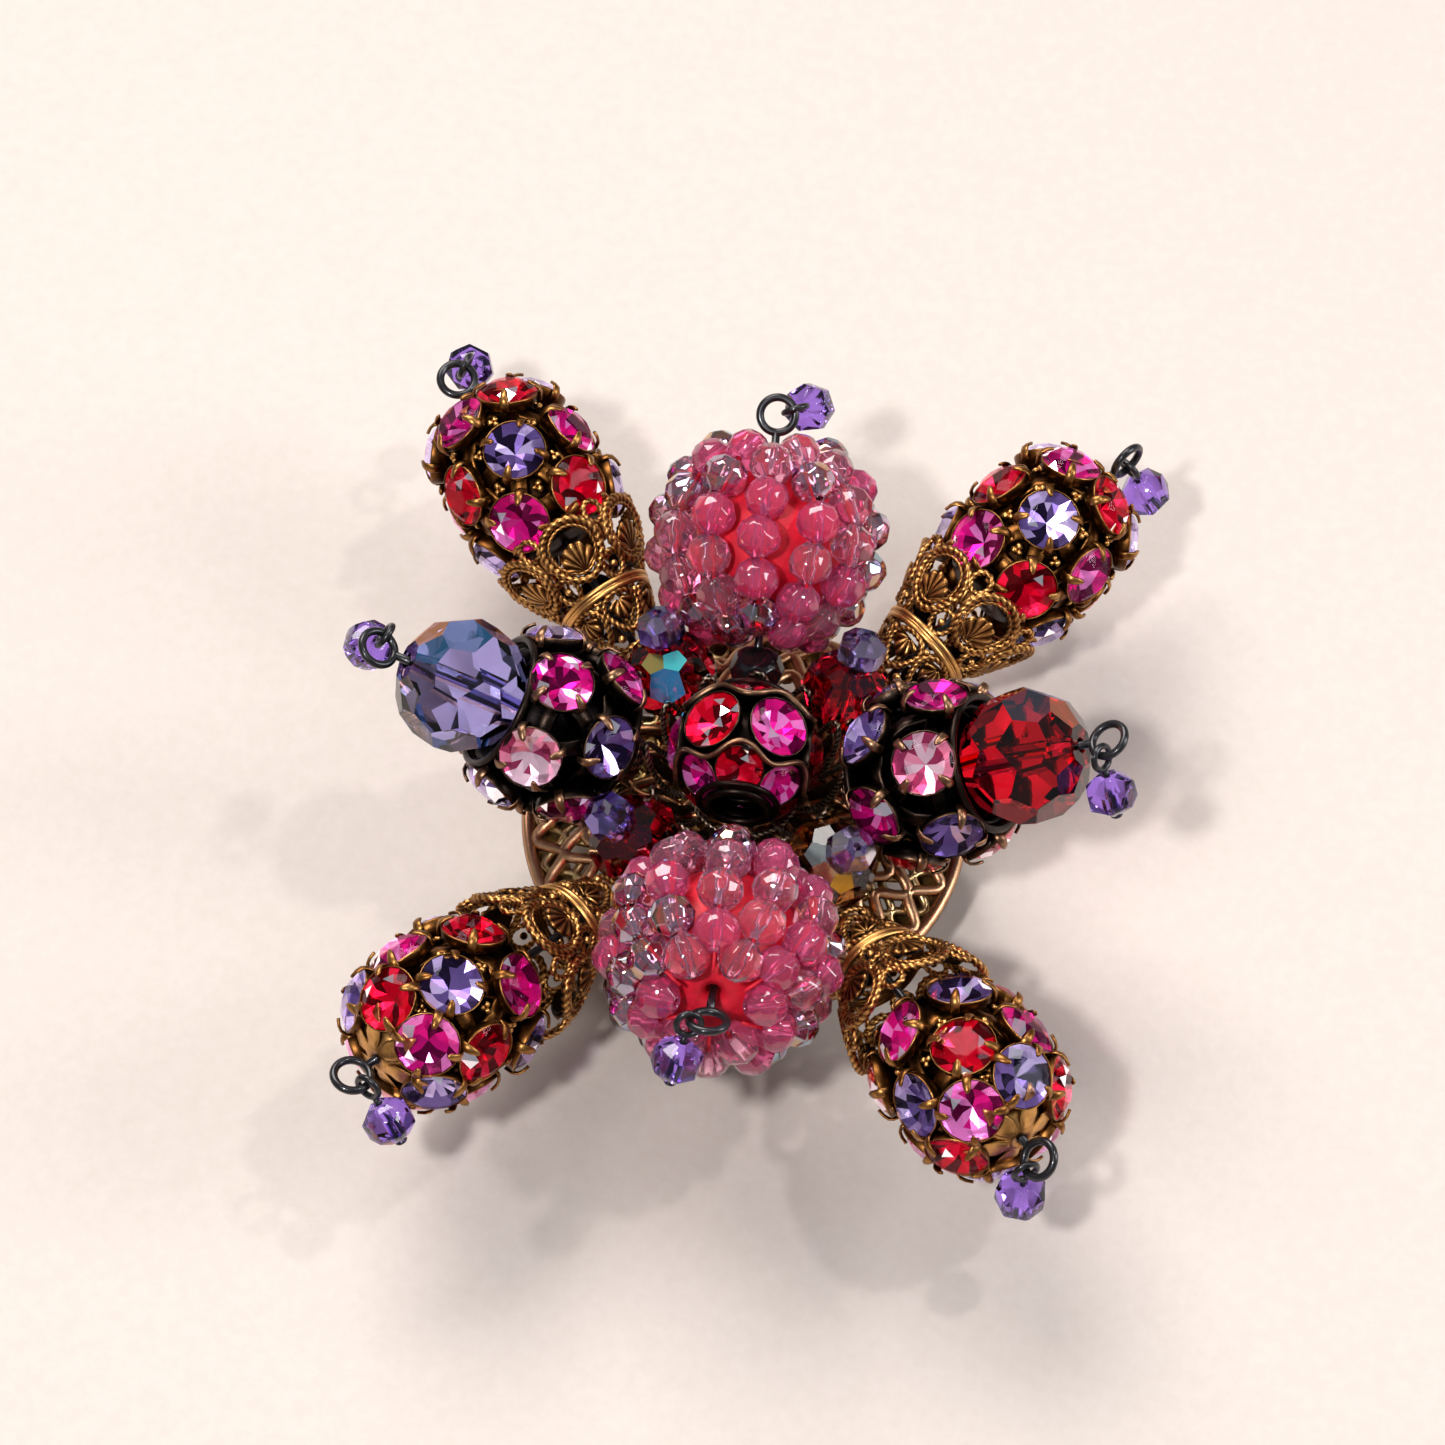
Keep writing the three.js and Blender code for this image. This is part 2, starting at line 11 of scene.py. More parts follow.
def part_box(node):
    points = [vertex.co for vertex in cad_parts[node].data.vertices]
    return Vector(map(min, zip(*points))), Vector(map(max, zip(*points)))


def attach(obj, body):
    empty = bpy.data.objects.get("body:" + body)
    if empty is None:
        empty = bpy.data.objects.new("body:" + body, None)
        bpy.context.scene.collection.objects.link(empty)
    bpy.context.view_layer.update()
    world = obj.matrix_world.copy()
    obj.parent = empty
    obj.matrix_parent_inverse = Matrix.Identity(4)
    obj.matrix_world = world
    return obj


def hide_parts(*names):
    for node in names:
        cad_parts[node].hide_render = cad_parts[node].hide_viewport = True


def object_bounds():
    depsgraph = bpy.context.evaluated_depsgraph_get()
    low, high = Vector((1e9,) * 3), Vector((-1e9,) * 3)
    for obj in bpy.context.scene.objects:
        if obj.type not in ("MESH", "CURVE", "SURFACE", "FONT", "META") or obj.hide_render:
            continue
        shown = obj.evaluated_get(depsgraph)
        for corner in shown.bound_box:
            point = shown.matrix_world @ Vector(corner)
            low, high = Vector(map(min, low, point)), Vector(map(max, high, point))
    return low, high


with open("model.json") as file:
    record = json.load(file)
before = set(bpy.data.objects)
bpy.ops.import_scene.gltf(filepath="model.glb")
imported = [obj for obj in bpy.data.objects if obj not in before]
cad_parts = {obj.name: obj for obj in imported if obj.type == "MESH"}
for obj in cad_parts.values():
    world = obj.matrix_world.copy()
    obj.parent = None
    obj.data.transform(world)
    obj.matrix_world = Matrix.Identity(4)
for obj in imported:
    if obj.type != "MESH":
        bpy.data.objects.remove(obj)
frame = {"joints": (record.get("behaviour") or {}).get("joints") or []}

cad_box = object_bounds()
rng = random.Random(11)

# ---- sizes, in millimetres, as in the part's own source ---------------------------------------------
MM = 0.001
ROOT_Z = 3.0
WIRE = 0.35
PLATE_RADIUS, PLATE_THICKNESS = 18.4, 0.8
OPENINGS, OPENING_RING, OPENING_HALF_DEPTH, OPENING_HALF_LENGTH = 10, 13.6, 1.9, 3.0
DOME_RADIUS, DOME_RIM_Z, DOME_HEIGHT = 19.0, 1.75, 3.75
BALL_Z, BALL_SHELL = 12.9, 5.45
STONE, DARK_STONE = 2.65, 2.65
CENTRE_STONE, SIDE_STONE, SIDE_REACH, SIDE_LATITUDE = 2.6, 2.0, 5.5, 45
TABLE, STAR, CROWN_RISE, PAVILION = 0.55, 0.78, 0.34, 0.42      # the cut of a stone, as shares of its radius
BRASS_ROWS = [(5.0, 5.6, 42, 0.5), (6.35, 0.2, 4, 0.0), (6.0, -5.2, -22, 0.5)]    # radius, height, tilt, turn
DARK_ROW, DARK_ROW_HEIGHT, DARK_ROW_TILT = 6.75, 2.9, 20
CORE, STRAND, BEAD = 6.7, 8.6, 1.85
STRANDS, BEAD_STEP, LONG_STRAND, SHORT_STRAND = 12, 23.6, (6, 31.0), (5, 42.8)    # beads and first angle
BELL_START, BELL_WAIST, BELL_MOUTH = -19.2, -13.9, -7.1
MOUTH_RING_Z, NECK_RING_Z = -9.9, -16.1
CRYSTAL_BEYOND, CRYSTAL = 8.8, 5.45
JET_BEFORE, JET = 11.0, 2.2
EYE = 1.5
LINK_MEAN, LINK_WIRE, LINK_DROP = 1.0, 0.28, 0.2
DROP_BEAD, DROP_BEAD_AT = 1.9, 3.65
ACCENT, ACCENT_Z, TIP, ACCENT_LEAN = 3.6, 9.6, 1.85, 66
FINDING_Y, AXIS_Z, HALF_SPAN = 8.0, -2.8, 11.5

# name, kind, azimuth, lift, ball, loop, roll of the ball, shift of its inner rows, turn of the loop
ARMS = [
    ("right", "dark", 0, 32, 18.7, 35.3, 56, 0, 0),
    ("upper_right", "brass", 50, 9.5, 35.0, 45.6, 44, 0, 90),
    ("top", "pink", 92, 30, 22.9, 33.7, 0, 0, 0),
    ("upper_left", "brass", 131, 11.5, 35.8, 46.2, 20, 0, 0),
    ("left", "dark", 178.5, 31.5, 19.2, 36.0, 30, 0, 0),
    ("lower_left", "brass", 231, 13, 34.7, 45.0, 20, 1.2, 0),
    ("bottom", "pink", 271.5, 31, 23.4, 34.1, 0, 0, 0),
    ("lower_right", "brass", 309.5, 12.5, 35.1, 45.3, 38, 1.2, 40),
]
ACCENTS = [
    ("upper_left", 131, 11.5, 120, "siam_ab"),
    ("upper_right", 49, 11.5, 60, "siam"),
    ("lower_left", 222, 11.3, 200, "siam"),
    ("lower_right", 317, 11.3, 325, "vitrail"),
]


# ---- meshes -----------------------------------------------------------------------------------------
class Mesh:
    """Vertices in millimetres, each with a value of rubbing and painted shade, and faces with a material slot
    and a tone each.
    """

    def __init__(self):
        self.verts, self.wear = [], []
        self.faces, self.slots, self.smooth, self.tones = [], [], [], []

    def add(self, verts, faces, place=None, smooth=True, wear=None, tones=None, slots=None):
        first = len(self.verts)
        self.verts += [place @ Vector(v) for v in verts] if place else [Vector(v) for v in verts]
        self.wear += wear if wear else [0.6] * len(verts)
        self.faces += [[first + i for i in face] for face in faces]
        self.slots += slots if slots else [0] * len(faces)
        self.smooth += smooth if isinstance(smooth, list) else [smooth] * len(faces)
        self.tones += tones if tones else [rng.random() for _ in faces]

    def merge(self, other, place):
        self.add(other.verts, other.faces, place, other.smooth, other.wear, other.tones, other.slots)


def moved(mesh, place):
    made = Mesh()
    made.merge(mesh, place)
    return made


def show(name, data):
    made = bpy.data.objects.new(name, data)
    bpy.context.scene.collection.objects.link(made)
    return made


def piece(name, mesh, materials, slot, body, *nodes):
    data = bpy.data.meshes.new(name)
    data.from_pydata([v * MM for v in mesh.verts], [], mesh.faces)
    data.polygons.foreach_set("material_index", mesh.slots)
    data.polygons.foreach_set("use_smooth", mesh.smooth)
    data.attributes.new("wear", "FLOAT", "POINT").data.foreach_set("value", mesh.wear)
    data.attributes.new("tone", "FLOAT", "FACE").data.foreach_set("value", mesh.tones)
    for material in materials:
        data.materials.append(material)
    data.update()
    made = show(name, data)
    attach(made, body)
    if nodes:
        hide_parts(*nodes)
    return made


def polar(radius, angle):
    return radius * math.cos(angle), radius * math.sin(angle)


def ring_of(count, turn=0.0):
    return [2 * math.pi * (i + turn) / count for i in range(count)]


def circle(radius, height, steps, turn=0.0):
    return [(*polar(radius, angle), height) for angle in ring_of(steps, turn)]


def direction(azimuth, lift):
    """The unit vector at an angle round Z and an angle above the XY plane."""
    return Vector((*polar(math.cos(lift), azimuth), math.sin(lift)))


def pairs(loop):
    """Each item of a loop with the one after it."""
    return list(zip(loop, loop[1:] + loop[:1]))


def between(values, share):
    """The value at a share of the way along a list, on straight lines between its items."""
    at = share * (len(values) - 1)
    low = min(int(at), len(values) - 2)
    return values[low] + (values[low + 1] - values[low]) * (at - low)


def crest(high, low, above=0.0):
    """Rubbing and painted light of a tube: high, as rubbed metal with a painted highlight, on the side its up
    direction faces, and low, as patina with painted shade, elsewhere.
    """
    return lambda i, angle: high if math.sin(angle) > above else low


def given(value, *where):
    """A setting of a tube, which may be a function of where it is asked for."""
    return value(*where) if callable(value) else value


def skin(rings, sides, closed):
    """Faces between rings of points, with a lid on each end of an open row."""
    faces = []
    for ring in range(rings if closed else rings - 1):
        low, high = ring * sides, ((ring + 1) % rings) * sides
        for i in range(sides):
            j = (i + 1) % sides
            faces.append([low + i, low + j, high + j, high + i])
    if not closed:
        faces.append(list(range(sides))[::-1])
        faces.append(list(range((rings - 1) * sides, rings * sides)))
    return faces


def revolve(mesh, profile, segments, place=None, closed=True, shade_and_wear=0.6, smooth=True):
    """A profile of (radius, height) points turned round Z; a closed one is a loop. Its setting of rubbing and
    painted shade is one value, or one for each point."""
    verts = [(*polar(radius, angle), height) for radius, height in profile for angle in ring_of(segments)]
    levels = shade_and_wear if isinstance(shade_and_wear, tuple) else (shade_and_wear,) * len(profile)
    wear = [level for level in levels for _ in range(segments)]
    mesh.add(verts, skin(len(profile), segments, closed), place, smooth, wear)


def tube(mesh, path, radius, sides=8, closed=False, shape=1.0, up=None, place=None, shade_and_wear=0.6, square=1.0):
    """A bar along a path. shape scales its radius, or its width and thickness; shape, up and the setting of
    rubbing and painted shade are values or functions. A square below 1 flattens the sides of its section."""
    points = [Vector(p) for p in path]
    count = len(points)
    verts, wear = [], []
    normal = None
    for i, point in enumerate(points):
        ahead = points[(i + 1) % count] if closed or i < count - 1 else point
        behind = points[i - 1] if closed or i > 0 else point
        along = (ahead - behind).normalized()
        hint = Vector(given(up, i)) if up else (normal or along.orthogonal())
        normal = (hint - along * hint.dot(along)).normalized()
        side = along.cross(normal)
        for k in range(sides):
            angle = 2 * math.pi * k / sides
            scale = given(shape, i, angle)
            wide, thick = scale if isinstance(scale, tuple) else (scale, scale)
            across = math.copysign(abs(math.cos(angle)) ** square, math.cos(angle))
            above = math.copysign(abs(math.sin(angle)) ** square, math.sin(angle))
            offset = side * (radius * wide * across) + normal * (radius * thick * above)
            verts.append(point + offset)
            wear.append(given(shade_and_wear, i, angle))
    mesh.add(verts, skin(count, sides, closed), place, wear=wear)


def hoop(mesh, radius, height, thick, shade_and_wear, steps=48, sides=8):
    """A round wire hoop about Z."""
    tube(mesh, circle(radius, height, steps), thick, sides, closed=True, up=(0, 0, 1), shade_and_wear=shade_and_wear)


def rope(mesh, path, radius, pitch, closed=True, up=None, sides=8, depth=0.22):
    """Two strands twisted together, as the edge of stamped filigree looks."""
    points = [Vector(p) for p in path]
    legs = pairs(points) if closed else pairs(points)[:-1]
    total = sum((b - a).length for a, b in legs)
    turns = max(3, round(total / pitch))
    steps = turns * 5
    fine = resample(points, steps, closed)

    def ridge(i, angle):
        return 1 + depth * math.cos(2 * angle + 2 * math.pi * turns * i / steps)

    # Grooves between the strands get low values, patina with painted shade; ridges get high ones, rubbed
    # metal with painted highlights.
    tube(mesh, fine, radius, sides, closed, shape=ridge, up=up,
         shade_and_wear=lambda i, angle: 0.35 + 0.6 * (ridge(i, angle) - 1 + depth) / (2 * depth))


def resample(points, steps, closed):
    loop = points + points[:1] if closed else points
    lengths = [0.0]
    for a, b in zip(loop, loop[1:]):
        lengths.append(lengths[-1] + (b - a).length)
    fine = []
    at = 0
    for i in range(steps if closed else steps + 1):
        wanted = lengths[-1] * i / steps
        while at < len(loop) - 2 and lengths[at + 1] < wanted:
            at += 1
        share = (wanted - lengths[at]) / max(1e-9, lengths[at + 1] - lengths[at])
        fine.append(loop[at].lerp(loop[at + 1], min(1.0, max(0.0, share))))
    return fine


def cut_solid(planes):
    """The convex solid inside planes given as (normal, distance), as (verts, faces)."""
    work = bmesh.new()
    duals = [work.verts.new(Vector(normal).normalized() / distance) for normal, distance in planes]
    bmesh.ops.convex_hull(work, input=duals)
    corners = {}
    verts = []
    around = {vert: [] for vert in duals}
    for face in work.faces:
        normal = face.normal
        reach = normal.dot(face.verts[0].co)
        if abs(reach) < 1e-9:
            continue
        corner = normal / reach
        key = tuple(round(c, 3) for c in corner)
        if key not in corners:
            corners[key] = len(verts)
            verts.append(corner.copy())
        for vert in face.verts:
            if vert in around and corners[key] not in around[vert]:
                around[vert].append(corners[key])
    faces = []
    for vert, ring in around.items():
        if len(ring) < 3:
            continue
        normal = vert.co.normalized()
        right = normal.orthogonal().normalized()
        top = normal.cross(right)
        middle = sum((verts[i] for i in ring), Vector()) / len(ring)
        ring.sort(key=lambda i: math.atan2((verts[i] - middle).dot(top), (verts[i] - middle).dot(right)))
        faces.append(ring)
    work.free()
    return verts, faces


def bead_planes(radius, rows, pole):
    """Facet planes of a cut bead: rows of (latitude in degrees, count, turn, distance share)."""
    planes = [((0, 0, 1), pole * radius), ((0, 0, -1), pole * radius)]
    for latitude, count, turn, share in rows:
        lean = math.radians(latitude)
        for angle in ring_of(count, turn):
            planes.append((direction(angle, lean), share * radius))
    return planes


def bored(verts, faces, bore):
    """The same solid with a round hole from its top facet to its bottom one."""
    verts = [v.copy() for v in verts]
    lids = []
    kept = []
    for face in faces:
        level = {round(verts[i].z, 3) for i in face}
        off_axis = abs(sum(verts[i].x for i in face)) + abs(sum(verts[i].y for i in face))
        is_lid = len(level) == 1 and off_axis < 0.3 and abs(verts[face[0]].z) > bore
        (lids if is_lid else kept).append(face)
    lids.sort(key=lambda face: verts[face[0]].z)
    holes = []
    for lid in lids:
        height = verts[lid[0]].z
        order = sorted(lid, key=lambda i: math.atan2(verts[i].y, verts[i].x))
        hole = []
        for i in order:
            flat = Vector((verts[i].x, verts[i].y)).normalized() * bore
            hole.append(len(verts))
            verts.append(Vector((flat.x, flat.y, height)))
        for (a, b), (c, d) in zip(pairs(order), pairs(hole)):
            quad = [a, b, d, c]
            kept.append(quad if height > 0 else quad[::-1])
        holes.append(hole)
    low, high = holes
    for (a, b), (c, d) in zip(pairs(low), pairs(high)):
        kept.append([c, d, b, a])
    return verts, kept


def softened(verts, faces, width, segments=2):
    """The same solid with its edges rounded."""
    work = bmesh.new()
    made = [work.verts.new(v) for v in verts]
    for face in faces:
        work.faces.new([made[i] for i in face])
    bmesh.ops.bevel(work, geom=list(work.edges), offset=width, segments=segments, profile=0.5,
                    affect="EDGES", clamp_overlap=True)
    work.verts.ensure_lookup_table()
    rounded = [v.co.copy() for v in work.verts]
    rings = [[v.index for v in face.verts] for face in work.faces]
    work.free()
    return rounded, rings


# ---- materials --------------------------------------------------------------------------------------
class Nodes:
    def __init__(self, name):
        self.material = bpy.data.materials.new(name)
        self.material.use_nodes = True
        self.tree = self.material.node_tree
        self.bsdf = self.tree.nodes["Principled BSDF"]

    def new(self, kind, **settings):
        node = self.tree.nodes.new(kind)
        for key, value in settings.items():
            setattr(node, key, value)
        return node

    def link(self, source, target):
        self.tree.links.new(source, target)

    def set(self, **values):
        for key, value in values.items():
            self.bsdf.inputs[key.replace("_", " ")].default_value = value

    def attribute(self, name):
        return self.new("ShaderNodeAttribute", attribute_name=name).outputs["Fac"]

    def noise(self, scale, detail=4.0, roughness=0.6):
        node = self.new("ShaderNodeTexNoise")
        node.inputs["Scale"].default_value = scale
        node.inputs["Detail"].default_value = detail
        node.inputs["Roughness"].default_value = roughness
        where = self.new("ShaderNodeTexCoord")
        self.link(where.outputs["Object"], node.inputs["Vector"])
        return node.outputs["Fac"]

    def ramp(self, factor, stops, interpolation="LINEAR"):
        node = self.new("ShaderNodeValToRGB")
        node.color_ramp.interpolation = interpolation
        while len(node.color_ramp.elements) < len(stops):
            node.color_ramp.elements.new(0.5)
        for element, (at, color) in zip(node.color_ramp.elements, stops):
            element.position = at
            element.color = (*color, 1) if len(color) == 3 else color
        self.link(factor, node.inputs["Fac"])
        return node.outputs["Color"]

    def math(self, operation, first, second):
        node = self.new("ShaderNodeMath", operation=operation)
        for socket, value in zip(node.inputs, (first, second)):
            if isinstance(value, (int, float)):
                socket.default_value = value
            else:
                self.link(value, socket)
        return node.outputs["Value"]

    def paint(self, factor, stops):
        """The base colour, from a ramp."""
        self.link(self.ramp(factor, stops), self.bsdf.inputs["Base Color"])

    def roughen(self, noise, swing, least):
        """A roughness that varies with noise."""
        self.link(self.math("ADD", self.math("MULTIPLY", noise, swing), least), self.bsdf.inputs["Roughness"])

    def blend(self, amount, first, second):
        """The finished surface, mixed from two shaders."""
        mix = self.new("ShaderNodeMixShader")
        self.link(amount, mix.inputs["Fac"])
        self.link(first.outputs["BSDF"], mix.inputs[1])
        self.link(second.outputs["BSDF"], mix.inputs[2])
        self.link(mix.outputs["Shader"], self.tree.nodes["Material Output"].inputs["Surface"])

    def bump(self, height, strength, distance):
        node = self.new("ShaderNodeBump")
        node.inputs["Strength"].default_value = strength
        node.inputs["Distance"].default_value = distance
        self.link(height, node.inputs["Height"])
        self.link(node.outputs["Normal"], self.bsdf.inputs["Normal"])


def antique_metal(name, recess, middle, bright, rough=0.34):
    """Patinated metal: dark where the rubbing-and-shade value is low, which is patina in hollows together
    with painted shade in recesses, undersides and under other parts; bright where it is high, which is rubbed
    metal together with painted highlights on tops and ridges; blotched by noise.
    """
    made = Nodes(name)
    # This attribute mixes real patina and rubbing with painted shade and painted highlights.
    wear = made.attribute("wear")
    blotch = made.noise(900.0, 5.0)
    mixed = made.math("ADD", wear, made.math("MULTIPLY", made.math("SUBTRACT", blotch, 0.5), 0.55))
    made.paint(mixed, [(0.16, recess), (0.54, middle), (0.95, bright)])
    fine = made.noise(3500.0, 3.0)
    made.roughen(fine, 0.22, rough - 0.1)
    made.bump(fine, 0.25, 0.00006)
    made.set(Metallic=1.0)
    return made.material


def foil(name, dark, light, pale, pale_share=0.2):
    """The foiled back of a set stone, seen through its crown; each facet has its own tone, which paints light
    on it: facets with low tones get painted shade, the palest ones a painted highlight, the rest the foil's
    own colour.
    """
    made = Nodes(name)
    stops = [(0.0, dark), (0.34, dark), (0.36, light), (0.98 - pale_share, light), (1 - pale_share, pale)]
    made.paint(made.attribute("tone"), stops)
    made.set(Metallic=0.6, Roughness=0.14, Specular_IOR_Level=0.1)
    return made.material


def crown(name, tint):
    """The clear top of a set stone: tinted windows, with a few facets that throw the light straight back."""
    made = Nodes(name)
    made.tree.nodes.remove(made.bsdf)
    tone = made.attribute("tone")
    window = made.new("ShaderNodeBsdfTransparent")
    # Windows with the lowest tones are darker: painted shade on those facets.
    deep = tuple(c * c * 0.55 for c in tint)
    made.link(made.ramp(tone, [(0.0, deep), (0.22, tint), (1.0, tint)]), window.inputs["Color"])
    mirror = made.new("ShaderNodeBsdfGlossy")
    mirror.inputs["Roughness"].default_value = 0.02
    mirror.inputs["Color"].default_value = (1.8, 1.75, 1.9, 1)
    edge = made.new("ShaderNodeFresnel")
    edge.inputs["IOR"].default_value = 1.26
    flash = made.math("MULTIPLY", made.math("GREATER_THAN", tone, 0.93), 0.7)
    made.blend(made.math("ADD", made.math("MULTIPLY", edge.outputs["Fac"], 0.3), flash), window, mirror)
    return made.material


def clear(name, color, rough):
    """Cut glass, tinted a little differently in each facet."""
    made = Nodes(name)
    pale = tuple(min(1.0, c * 1.12 + 0.02) for c in color)
    made.paint(made.attribute("tone"), [(0.0, color), (1.0, pale)])
    made.set(Roughness=rough, IOR=1.55, Transmission_Weight=1.0)
    return made.material


def coated(name, body, colors, share, rough=0.03):
    """Glass with an iridescent coat. A facet's tone picks its coat colour; below 0.25 it has none."""
    made = Nodes(name)
    made.set(Roughness=0.0, IOR=1.55, Transmission_Weight=1.0)
    made.bsdf.inputs["Base Color"].default_value = (*body, 1)
    coat = made.new("ShaderNodeBsdfGlossy")
    coat.inputs["Roughness"].default_value = rough
    tone = made.attribute("tone")
    stops = [((i + 0.01) / len(colors), color) for i, color in enumerate(colors)]
    made.link(made.ramp(tone, stops, "CONSTANT"), coat.inputs["Color"])
    edge = made.new("ShaderNodeLayerWeight")
    edge.inputs["Blend"].default_value = 0.3
    bright = made.math("MULTIPLY", made.math("GREATER_THAN", tone, 0.25), share)
    amount = made.math("ADD", made.math("MULTIPLY", edge.outputs["Facing"], 0.2), bright)
    made.blend(amount, made.bsdf, coat)
    return made.material


def enamel(name, color, rough=0.22, metallic=0.0, coat=0.3):
    """A dark or coloured smooth surface with a slightly uneven gloss."""
    made = Nodes(name)
    blotch = made.noise(1200.0, 4.0)
    lighter = tuple(min(1.0, c * 1.4 + 0.004) for c in color)
    made.paint(blotch, [(0.35, color), (0.75, lighter)])
    made.roughen(blotch, 0.18, rough - 0.08)
    made.set(Metallic=metallic, Coat_Weight=coat)
    return made.material


def pink_bead_glass(name, body, share):
    """Milky pink glass under a gloss coat; share is how much of it is clear."""
    made = Nodes(name)
    deep = tuple(c * 0.82 for c in body)
    made.paint(made.attribute("tone"), [(0.0, deep), (1.0, body)])
    made.set(Roughness=0.06, IOR=1.5, Transmission_Weight=share, Coat_Weight=0.6, Coat_Roughness=0.03)
    return made.material


BRASS = antique_metal("antique_brass", (0.016, 0.007, 0.003), (0.2, 0.078, 0.02), (0.88, 0.47, 0.15))
COPPER = antique_metal("copper_bronze", (0.03, 0.012, 0.006), (0.30, 0.135, 0.062), (0.80, 0.47, 0.26))
BRONZE = antique_metal("dark_bronze", (0.006, 0.004, 0.003), (0.06, 0.036, 0.022), (0.5, 0.4, 0.3))
GILT = antique_metal("gilt_back", (0.12, 0.07, 0.02), (0.55, 0.36, 0.13), (0.9, 0.68, 0.34), 0.3)
DARK = antique_metal("blackened_metal", (0.004, 0.003, 0.003), (0.03, 0.02, 0.016), (0.34, 0.18, 0.1))
NICKEL = antique_metal("nickel_plate", (0.35, 0.33, 0.3), (0.62, 0.6, 0.56), (0.85, 0.83, 0.8), 0.22)
BLACK_WIRE = enamel("black_wire", (0.022, 0.021, 0.024), 0.3, 0.7)
JET_GLASS = enamel("jet_glass", (0.004, 0.004, 0.005), 0.08)
CORE_RED = enamel("core_red", (0.6, 0.003, 0.02), 0.5, coat=0.0)
CROWNS = {
    "tanzanite": crown("crown_tanzanite", (0.9, 0.84, 1.0)),
    "fuchsia": crown("crown_fuchsia", (1.0, 0.78, 0.92)),
    "red": crown("crown_red", (1.0, 0.7, 0.74)),
    "rose": crown("crown_rose", (1.0, 0.88, 0.95)),
}
# Each foil: painted shade for dark facets, the stone's own colour, a painted highlight for pale facets, and
# the share of pale ones.
FOILS = {
    "tanzanite": foil("foil_tanzanite", (0.016, 0.01, 0.03), (0.19, 0.135, 0.32), (0.88, 0.8, 0.98), 0.26),
    "fuchsia": foil("foil_fuchsia", (0.12, 0.002, 0.05), (0.78, 0.012, 0.3), (1.0, 0.42, 0.85)),
    "red": foil("foil_red", (0.09, 0.0, 0.004), (0.66, 0.0, 0.03), (1.0, 0.02, 0.12)),
    "rose": foil("foil_rose", (0.42, 0.06, 0.15), (1.0, 0.42, 0.55), (1.0, 0.88, 0.9), 0.28),
}
GLASS = {
    "siam": coated("glass_siam", (0.66, 0.004, 0.02),
                   [(0, 0, 0), (0.55, 0.02, 0.05), (0.7, 0.08, 0.12), (0.4, 0.1, 0.3)], 0.1),
    "siam_ab": coated("glass_siam_ab", (0.66, 0.006, 0.025),
                      [(0, 0, 0), (0.08, 0.5, 1.0), (0.32, 0.28, 0.09), (0.12, 0.8, 0.85)], 0.85, 0.3),
    "vitrail": coated("glass_vitrail", (0.42, 0.15, 0.04),
                      [(0, 0, 0), (1.0, 0.8, 0.2), (0.45, 0.5, 0.5), (0.8, 0.65, 0.3)], 0.75, 0.25),
    "blue": coated("glass_blue", (0.46, 0.43, 0.92),
                   [(0, 0, 0), (0.8, 0.5, 0.36), (0.12, 0.5, 1.0), (0.45, 0.2, 0.1)], 0.6, 0.15),
    "crimson": coated("glass_crimson", (1.0, 0.01, 0.03),
                      [(0, 0, 0), (0.4, 0.42, 0.55), (0.7, 0.2, 0.1), (0.2, 0.18, 0.45)], 0.35, 0.1),
    "violet": clear("glass_violet", (0.34, 0.18, 0.78), 0.03),
    "tip": coated("glass_tip", (0.52, 0.42, 0.86),
                  [(0, 0, 0), (0.8, 0.7, 1.0), (0.35, 0.28, 0.7), (1.0, 0.92, 1.0)], 0.5, 0.12),
}
PINKS = [
    pink_bead_glass("pink_clear", (1.0, 0.46, 0.64), 0.94),
    pink_bead_glass("pink_milky", (1.0, 0.18, 0.42), 0.84),
    coated("pink_iridescent", (1.0, 0.45, 0.64),
           [(0, 0, 0), (0.75, 0.8, 1.0), (1.0, 0.8, 0.5), (0.6, 0.9, 1.0)], 0.34),
]


# ---- placing ----------------------------------------------------------------------------------------
def axes(x, y, z):
    return Matrix((x, y, z)).transposed().to_4x4()


def facing(out):
    """The turn that brings +Z to a direction."""
    return Vector((0, 0, 1)).rotation_difference(out).to_matrix().to_4x4()


def arm_matrix(azimuth, lift, origin=(0, 0, ROOT_Z)):
    """A frame whose +Z leaves the origin at an azimuth and a lift, both in degrees."""
    turn = math.radians(azimuth)
    out = direction(turn, math.radians(lift))
    side = Vector((-math.sin(turn), math.cos(turn), 0))
    return Matrix.Translation(origin) @ axes(side, out.cross(side), out)


def along(distance):
    return Matrix.Translation((0, 0, distance))


def on_ball(radius, height, angle, tilt):
    """The place of something whose own +Z points out of a ball, round the ball's Z axis."""
    return (Matrix.Rotation(angle, 4, "Z") @ Matrix.Translation((radius, 0, height))
            @ Matrix.Rotation(math.pi / 2 - math.radians(tilt), 4, "Y"))


